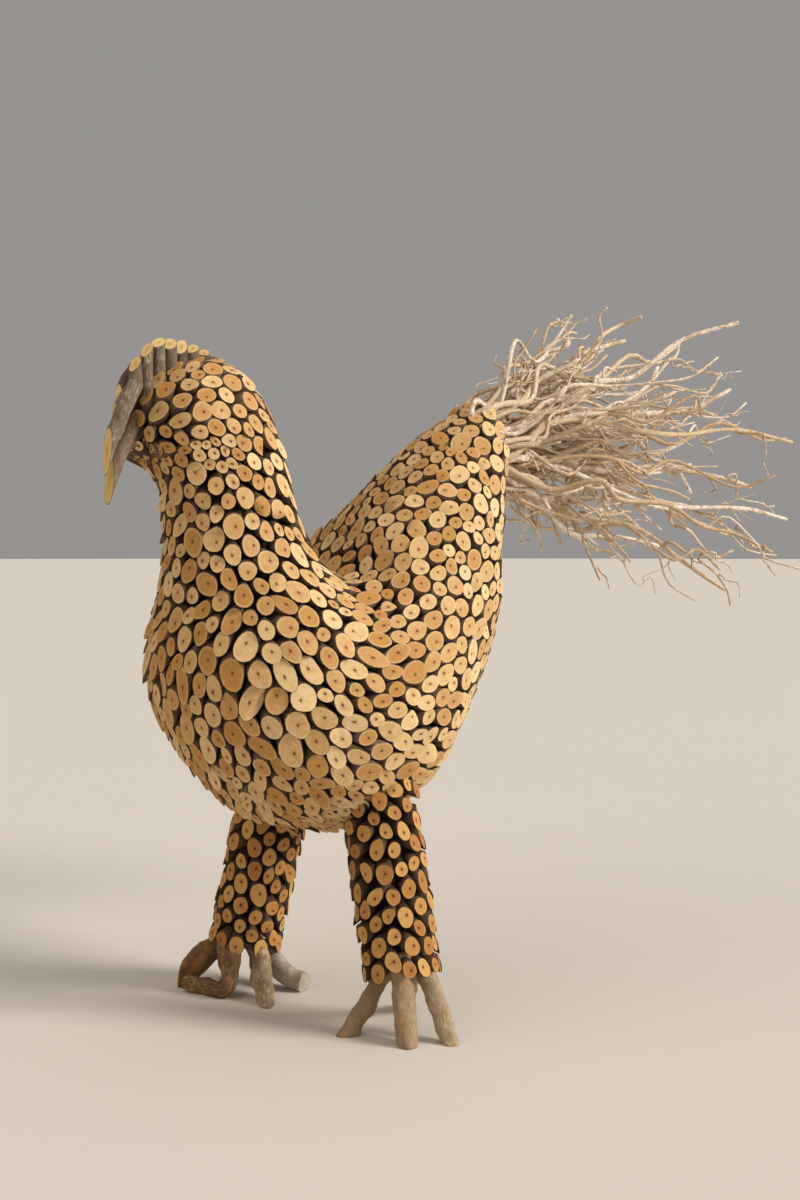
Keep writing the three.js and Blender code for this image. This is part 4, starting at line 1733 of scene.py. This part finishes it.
@dataclass(frozen=True)
class BeakTwig:
    """One twig of the beak.

    Attributes:
        name: Which twig.
        start: Upper end of its middle line, thousandths forward, up and left.
        end: Lower end of it.
        slant: From 0 to 1, how far the sawn face turns from the end to the front.
        solid_slant: The same for the solid that it stands for.
        extra: How far its hidden upper end goes on.
    """

    name: str
    start: tuple[float, float, float]
    end: tuple[float, float, float]
    slant: float
    solid_slant: float
    extra: float = 3 * MM


@dataclass
class Beak:
    """The twigs of the beak, which end in long slanting cuts.

    Attributes:
        diameter: Thickness of a twig.
        twigs: The twigs.
        shape: How a twig is made.
    """

    diameter: float = 10.4 * MM
    twigs: tuple[BeakTwig, ...] = (
        BeakTwig("beak_upper", (349, 918, 4), (395, 826, 4), 0.72, 0.62, 7 * MM),
        BeakTwig("beak_lower", (333, 880, -6), (386, 786, -4), 0.70, 0.58),
        BeakTwig("beak_side_1", (316, 952, -38), (344, 906, -38), 0.6, 0.5),
        BeakTwig("beak_side_2", (342, 912, -18), (364, 876, -18), 0.6, 0.5),
    )
    shape: TwigShape = TwigShape(sides=28, oval=0.04, knot_size=13 * MM, knot_height=0.05)

    def build(self, shop: Workshop) -> None:
        """Makes the twigs, one piece each."""
        rows = 34
        share = np.linspace(0, 1, rows)[:, None]
        for number, twig in enumerate(self.twigs):
            start, end = at(twig.start), at(twig.end)
            way = unit(end - start)
            front = -np.cross(LEFT, way)
            cut = unit(way * (1 - twig.slant) + front * twig.slant)
            longer = twig.slant / (1 - twig.slant) - twig.solid_slant / (1 - twig.solid_slant)
            end = end - way * longer * self.diameter / 2
            start = start - way * twig.extra
            bow = front * 0.9 * MM * np.sin(np.pi * share)
            path = (start + (end - start) * share + bow)[None]
            size = self.diameter / 2 * (1 + 0.05 * np.sin(6 * share[:, 0] + 2 * number))
            form = self.shape.grow(path, size[None], LEFT[None], 110 + number, cut[None])
            name = f"{twig.name}_bark"
            shop.piece(name, form, (COMB_BARK, CUT_WOOD), Wood.BEAK_BARK, [twig.name])


@dataclass
class Tail:
    """The brush of branching twigs in the stump.

    The stems follow the solids' middle lines, which are worked out here in the same way, and
    every stem carries side twigs, twiglets and neighbours of its own.

    Attributes:
        trunk: The trunk, for its stump.
        root_rings: Twigs in each ring of roots.
        root_spread: Share of the stump's end that the roots take up.
        length: Length of the longest stems.
        diameter: Thickness at the root.
        tip_diameter: Thickness at the tip.
        sideways: Spread to the sides.
        upward: Spread upwards.
        downward: Spread downwards.
        droop: How far the brush points below the stump's own direction.
        wander: How far a stem strays from its line.
        sag: How far the tips of the lowest stems hang down.
        sweep: How far the tips of the highest stems reach back.
        past_box: How far twigs may stand out of the solids' box.
        bend_zone: How far before that they bend away.
        box: Lowest and highest corner of the solids in the bird's own frame.
    """

    trunk: Trunk
    box: tuple[Array, Array]
    root_rings: tuple[int, ...] = (1, 6, 9, 10)
    root_spread: float = 0.76
    length: float = 320 * MM
    diameter: float = 7 * MM
    tip_diameter: float = 3.4 * MM
    sideways: float = np.radians(21)
    upward: float = np.radians(28)
    downward: float = np.radians(21)
    droop: float = np.radians(6)
    wander: float = 11 * MM
    sag: float = 12 * MM
    sweep: float = 30 * MM
    past_box: float = 12 * MM
    bend_zone: float = 24 * MM

    def lines(self) -> list[dict[str, Array | float]]:
        """Returns number, root, aim, lift, directions across, length and knots of each stem."""
        centre, rise, reach, normal = self.trunk.stump()
        turn = np.array(Matrix.Rotation(-self.droop, 3, "X"))
        base = turn @ normal
        found = []
        for ring, count in enumerate(self.root_rings):
            for k in range(count):
                number = len(found) + 1
                outward = ring / (len(self.root_rings) - 1)
                angle = 2 * np.pi * (k + (ring % 2) / 2) / count
                up_share, side_share = outward * np.cos(angle), outward * np.sin(angle)
                root = centre + normal * FIT_GAP
                root = root + self.root_spread * (rise * up_share + reach * side_share)
                spread = self.upward if up_share > 0 else self.downward
                aim = base + unit(rise) * np.tan(spread) * up_share
                aim = unit(aim + LEFT * np.tan(self.sideways) * side_share)
                across = unit(np.cross(aim, LEFT))
                beside = np.cross(aim, across)
                shorter = 1 - 0.5 * max(0.0, up_share) ** 1.2
                length = self.length * shorter * chance(number, 1, 0.86, 1.04)
                knots = [root]
                for bend, share in enumerate((0.3, 0.65, 1.0)):
                    stray = self.wander * share
                    knots.append(
                        root
                        + aim * length * share
                        + across * stray * chance(number, 2 + 2 * bend, -1, 1)
                        + beside * stray * chance(number, 3 + 2 * bend, -1, 1)
                    )
                found.append(
                    {
                        "number": number,
                        "root": root,
                        "aim": aim,
                        "lift": up_share,
                        "across": across,
                        "beside": beside,
                        "length": length,
                        "knots": np.stack(knots),
                    }
                )
        return found

    def held(self, paths: Array) -> Array:
        """Bends paths that would leave the box.

        Past a line one zone before the limit, a distance d becomes zone * tanh(d / zone).
        """
        low, high = self.box[0] - self.past_box, self.box[1] + self.past_box
        over = np.maximum(paths - (high - self.bend_zone), 0)
        under = np.maximum(low + self.bend_zone - paths, 0)
        kept = paths - over + under
        return kept + self.bend_zone * (np.tanh(over / self.bend_zone) - np.tanh(under / self.bend_zone))

    @staticmethod
    def crooked(paths: Array, rng: np.random.Generator, bends: int, stray: float) -> Array:
        """Makes smooth paths crooked.

        Every bend moves off the path by a random step, and a smooth curve through the steps
        moves the points between two bends.

        Args:
            paths: Points (copies, rows, 3).
            rng: Random numbers.
            bends: How many bends.
            stray: The usual step.

        Returns:
            The crooked paths. Their first points stay in place.
        """
        copies, rows, _ = paths.shape
        steps = rng.normal(scale=stray, size=(copies, bends + 2, 3))
        steps[:, 0] = 0
        return paths + spline(steps, rows)

    def branches(
        self,
        parents: Array,
        parent_radii: Array,
        rng: np.random.Generator,
        count: int,
        reach: tuple[float, float],
        opening: tuple[float, float],
        thinness: tuple[float, float],
        rows: int,
    ) -> tuple[Array, Array]:
        """Side twigs of some stems.

        A side twig leaves its parent at a random share of the way and turns off by the
        opening, then bends back half way towards the parent's direction.

        Args:
            parents: Paths of the stems (copies, rows, 3).
            parent_radii: Their radii (copies, rows).
            rng: Random numbers.
            count: Side twigs for each stem.
            reach: Least and greatest length.
            opening: Least and greatest angle to the stem.
            thinness: Least and greatest share of the stem's radius.
            rows: Points along a side twig.

        Returns:
            Paths and radii of the side twigs.
        """
        copies, length, _ = parents.shape
        index = np.repeat(np.arange(copies), count)
        place = (rng.uniform(0.28, 0.95, copies * count) * (length - 2)).astype(int)
        start = parents[index, place]
        way = unit(parents[index, place + 1] - start)
        sideways = unit(np.cross(way, rng.normal(size=way.shape)))
        angle = rng.uniform(*opening, (len(index), 1))
        first = way * np.cos(angle) + sideways * np.sin(angle)
        first = unit(first - FRONT * 0.22 - UP * 0.08)
        second = unit(first + way * 0.9 - UP * 0.1)
        size = rng.uniform(*reach, (len(index), 1)) * (1 - 0.35 * (place / length)[:, None])
        knots = np.stack([start, start + first * size * 0.4, start + (first * 0.4 + second * 0.6) * size], axis=1)
        paths = self.crooked(spline(knots, rows), rng, 3, 0.055 * float(np.mean(reach)))
        base = parent_radii[index, place] * rng.uniform(*thinness, len(index))
        taper = np.linspace(1, 0.62, rows)[None]
        return paths, base[:, None] * taper

    def build(self, shop: Workshop) -> None:
        """Makes the brush, one piece for each solid twig."""
        stem_shape = TwigShape(sides=9, oval=0.08, knot_size=9 * MM, knot_height=0.13)
        side_shape = TwigShape(sides=6, oval=0.05, knot_size=7 * MM, knot_height=0.10)
        twiglet_shape = TwigShape(sides=5, oval=0.0, knot_size=7 * MM, knot_height=0.06)
        _, _, _, normal = self.trunk.stump()
        for line in self.lines():
            number = int(line["number"])
            rng = np.random.default_rng(300 + number)
            knots = line["knots"]
            hidden = knots[0] - normal * 12 * MM
            main = spline(np.concatenate([hidden[None], knots]), 30)[None]
            neighbours = []
            for least in (0.55, 0.3 if line["lift"] < -0.6 else 0.5):
                step = rng.normal(scale=3.5 * MM, size=3)
                shorter = rng.uniform(least, 2 * least)
                swing = line["across"] * rng.normal(0.01, 0.11) + line["beside"] * rng.normal(scale=0.12)
                aim = unit(line["aim"] + swing)
                ends = hidden + step + aim * line["length"] * shorter * np.array([0, 0.33, 0.66, 1.0])[:, None]
                neighbours.append(spline(ends, 30))
            stems = np.concatenate([main, np.stack(neighbours)])
            share = np.linspace(0, 1, 30)[:, None]
            sag = self.sag * smooth(0.3, -0.6, line["lift"]) * share**2
            sweep = self.sweep * smooth(0.0, 0.8, line["lift"]) * share
            stems = self.crooked(stems, rng, 6, 7.5 * MM) - sag * UP - sweep * FRONT
            taper = np.linspace(1, self.tip_diameter / self.diameter, 30)
            thickness = np.array([1.0, rng.uniform(0.6, 0.9), rng.uniform(0.5, 0.8)])[:, None]
            knobs = 1 + 0.12 * np.maximum(0, np.sin(np.linspace(0, 22, 30) + number)) ** 3
            radii = self.diameter / 2 * thickness * taper * knobs
            reference = np.repeat(line["across"][None], len(stems), axis=0)
            forms = [stem_shape.grow(self.held(stems), radii, reference, 400 + number)]
            fullness = line["length"] / self.length
            reach = (55 * MM * fullness, 140 * MM * fullness)
            sides, side_radii = self.branches(stems, radii, rng, 3, reach, (0.14, 0.45), (0.58, 0.85), 14)
            side_reference = unit(rng.normal(size=(len(sides), 3)) * 0.2 + line["across"])
            forms.append(side_shape.grow(self.held(sides), side_radii, side_reference, 500 + number))
            reach = (22 * MM * fullness, 62 * MM * fullness)
            small, small_radii = self.branches(sides, side_radii, rng, 1, reach, (0.2, 0.6), (0.7, 0.95), 8)
            small_reference = unit(rng.normal(size=(len(small), 3)) * 0.2 + line["across"])
            forms.append(twiglet_shape.grow(self.held(small), small_radii, small_reference, 600 + number))
            name = f"tail_twig_{number:02d}"
            shop.piece(f"{name}_branch", Form.join(forms), (DRIFTWOOD, DRIFTWOOD), Wood.DRIFTWOOD, [name])


# Studio


@dataclass
class Studio:
    """Pale floor, soft lights and the camera at the photograph's place.

    Attributes:
        camera_at: Place of the camera in the bird's own frame.
        azimuth: Direction of the camera, turned from +Y to the left, in degrees.
        focal_length: In millimetres on a 36 mm sensor.
        horizon: Row of the horizon in the image.
        image_size: Width and height of the image.
    """

    camera_at: tuple[float, float, float] = (0.9209, -0.8327, 0.357)
    azimuth: float = 45.0
    focal_length: float = 48.6
    horizon: float = 540.0
    image_size: tuple[int, int] = (800, 1200)

    def camera(self, shop: Workshop) -> None:
        """Sets up the camera, level, with its frame shifted down to the photograph's horizon."""
        data = bpy.data.cameras.new("camera")
        data.sensor_width = 36.0
        data.lens = self.focal_length
        data.shift_y = (self.horizon - self.image_size[1] / 2) / max(self.image_size)
        data.clip_end = 100.0
        made = bpy.data.objects.new("camera", data)
        made.location = np.array(self.camera_at) + shop.shift
        made.rotation_euler = (np.pi / 2, 0.0, np.radians(self.azimuth))
        bpy.context.scene.collection.objects.link(made)
        bpy.context.scene.camera = made

    def light(self, name: str, place: tuple[float, float, float], spread: float, power: float, tint: Colour) -> None:
        """Adds a soft light from far away.

        Args:
            name: Its name.
            place: The side that it comes from.
            spread: How wide it looks from the bird, as an angle.
            power: In watts on each square metre.
            tint: Colour of its light.
        """
        data = bpy.data.lights.new(name, "SUN")
        data.angle = spread
        data.energy = power
        data.color = tint[:3]
        made = bpy.data.objects.new(name, data)
        ahead = unit(-np.array(place))
        side = unit(np.cross(ahead, UP))
        over = np.cross(side, ahead)
        turn = Matrix(np.stack([side, over, -ahead], axis=1).tolist()).to_4x4()
        made.matrix_world = Matrix.Translation(place) @ turn
        bpy.context.scene.collection.objects.link(made)

    def floor(self, shop: Workshop) -> None:
        """Adds the floor, a round sheet whose rim is far away."""
        angle = 2 * np.pi * np.arange(96) / 96
        radii = np.array([0.5, 2.0, 8.0, 30.0])[:, None]
        rings = np.stack([radii * np.cos(angle), radii * np.sin(angle), 0 * radii * angle], -1)
        points = np.concatenate([np.zeros((1, 3)), rings.reshape(-1, 3)])
        j = np.arange(96)
        fan = np.stack([np.zeros(96, int), 1 + j, 1 + (j + 1) % 96], -1).tolist()
        step = (np.arange(3) * 96)[:, None]
        here, following = 1 + j + step, 1 + (j + 1) % 96 + step
        quads = np.stack([here, here + 96, following + 96, following], -1).reshape(-1, 4).tolist()
        mesh = bpy.data.meshes.new("floor")
        mesh.from_pydata(points.tolist(), [], fan + quads)
        mesh.materials.append(shop.material(Plain("pale_floor", rgb(214, 208, 200))))
        made = bpy.data.objects.new("floor", mesh)
        bpy.context.scene.collection.objects.link(made)
        made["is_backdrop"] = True

    def build(self, shop: Workshop) -> None:
        """Makes floor, lights and sky."""
        self.floor(shop)
        bpy.context.scene.view_settings.view_transform = "Standard"
        self.light("window", (1.7, 0.9, 1.0), 0.4, 3.2, rgb(255, 251, 244))
        self.light("front", (-0.6, -2.1, 1.2), 1.4, 0.5, rgb(255, 230, 194))
        self.light("top", (0.3, -0.2, 2.4), 1.2, 0.62, rgb(255, 251, 246))
        world = bpy.data.worlds.new("studio")
        world.use_nodes = True
        sky = world.node_tree.nodes["Background"]
        sky.inputs["Color"].default_value = rgb(226, 222, 218)
        sky.inputs["Strength"].default_value = 0.4
        bpy.context.scene.world = world


LEFT_LEG = Leg(Side.LEFT, (-16, 322, 118), (-4, 80, 178))
RIGHT_LEG = Leg(Side.RIGHT, (-16, 322, -118), (-2, 70, -178))
LEFT_FOOT = Foot(
    LEFT_LEG,
    (
        Toe("inner", (0.3, -0.48), ((78, -14, 136),), THIN),
        Toe("middle", (0.35, 0.3), ((46, -14, 240),), MIDDLE),
        Toe("outer", (-0.3, 0.5), ((-4, -14, 282),), THIN),
        Toe("hind", (-0.52, -0.25), ((-98, -14, 88),), THIN),
    ),
)
RIGHT_FOOT = Foot(
    RIGHT_LEG,
    (
        Toe("outer", (0.1, -0.46), ((74, 16, -248),), THICK, True, (0.65, 0.1, -0.75), BURL_BARK),
        Toe("front", (0.6, 0.12), ((68, 18, -136), (78, 11, -178), (88, 13, -216)), THIN, True, None, BURL_BARK),
        Toe("inner", (0.05, 0.62), ((56, -14, -54),), MIDDLE),
        Toe("hind", (-0.6, 0.05), ((-32, 26, -124), (-38, 14, -74)), MIDDLE, True, None, PALE_TOE_BARK),
    ),
)


def place_in_row() -> Array:
    """Returns the place of the bird's own frame in the row's frame, from the sole that the record names."""
    mounts = {mount["name"]: mount for mount in frame["record"]["mounts"]}
    sole = np.array(mounts["left_foot_sole"]["pos_m"])
    return sole - LEFT_FOOT.touch_down(LEFT_FOOT.toes[1])


def depth_in(rows: Array) -> Callable[[Array], Array]:
    """How far inside a lofted surface points lie.

    Args:
        rows: Centre, rise and reach of each ring, as (rings, 9).

    Returns:
        A function of points that gives the distance to the nearest sample of the surface,
        negative outside.
    """
    skin = Skin.of(rows, steps=110, sides=48)
    places, normals = skin.points.astype(np.float32), skin.normals

    def depth(points: Array) -> Array:
        """Returns the depth of each point below the surface."""
        found = nearest(points.astype(np.float32), places)
        return ((places[found] - points) * normals[found]).sum(-1)

    return depth


def main() -> None:
    """Builds the whole scene in order."""
    logging.basicConfig(level=logging.INFO, format="%(name)s: %(message)s")
    cad_low, cad_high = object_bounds()
    shop = Workshop(place_in_row())
    log.info("the bird stands at %s", np.round(shop.shift, 5))
    studio = Studio()
    studio.camera(shop)
    studio.build(shop)

    trunk, comb, beak = Trunk(), Comb(), Beak()
    peaks, feet = comb.peaks(), comb.feet()

    def clear(points: Array) -> Array:
        """Returns which points are clear of the comb and the beak."""
        free = np.ones(len(points), bool)
        margin = 2.2 * MM
        for foot, peak in zip(feet, peaks):
            free &= distance_to(points, foot, peak) > comb.diameter / 2 + margin
        for twig in beak.twigs:
            free &= distance_to(points, at(twig.start), at(twig.end)) > beak.diameter / 2 + margin
        return free

    trunk.build(shop, clear)
    inside = depth_in(trunk.rings())
    for leg in (LEFT_LEG, RIGHT_LEG):
        leg.build(shop, inside)
    for foot in (LEFT_FOOT, RIGHT_FOOT):
        foot.build(shop)
    comb.build(shop)
    beak.build(shop)
    Tail(trunk, (np.array(cad_low) - shop.shift, np.array(cad_high) - shop.shift)).build(shop)

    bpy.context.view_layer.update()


if __name__ == "__main__":
    main()
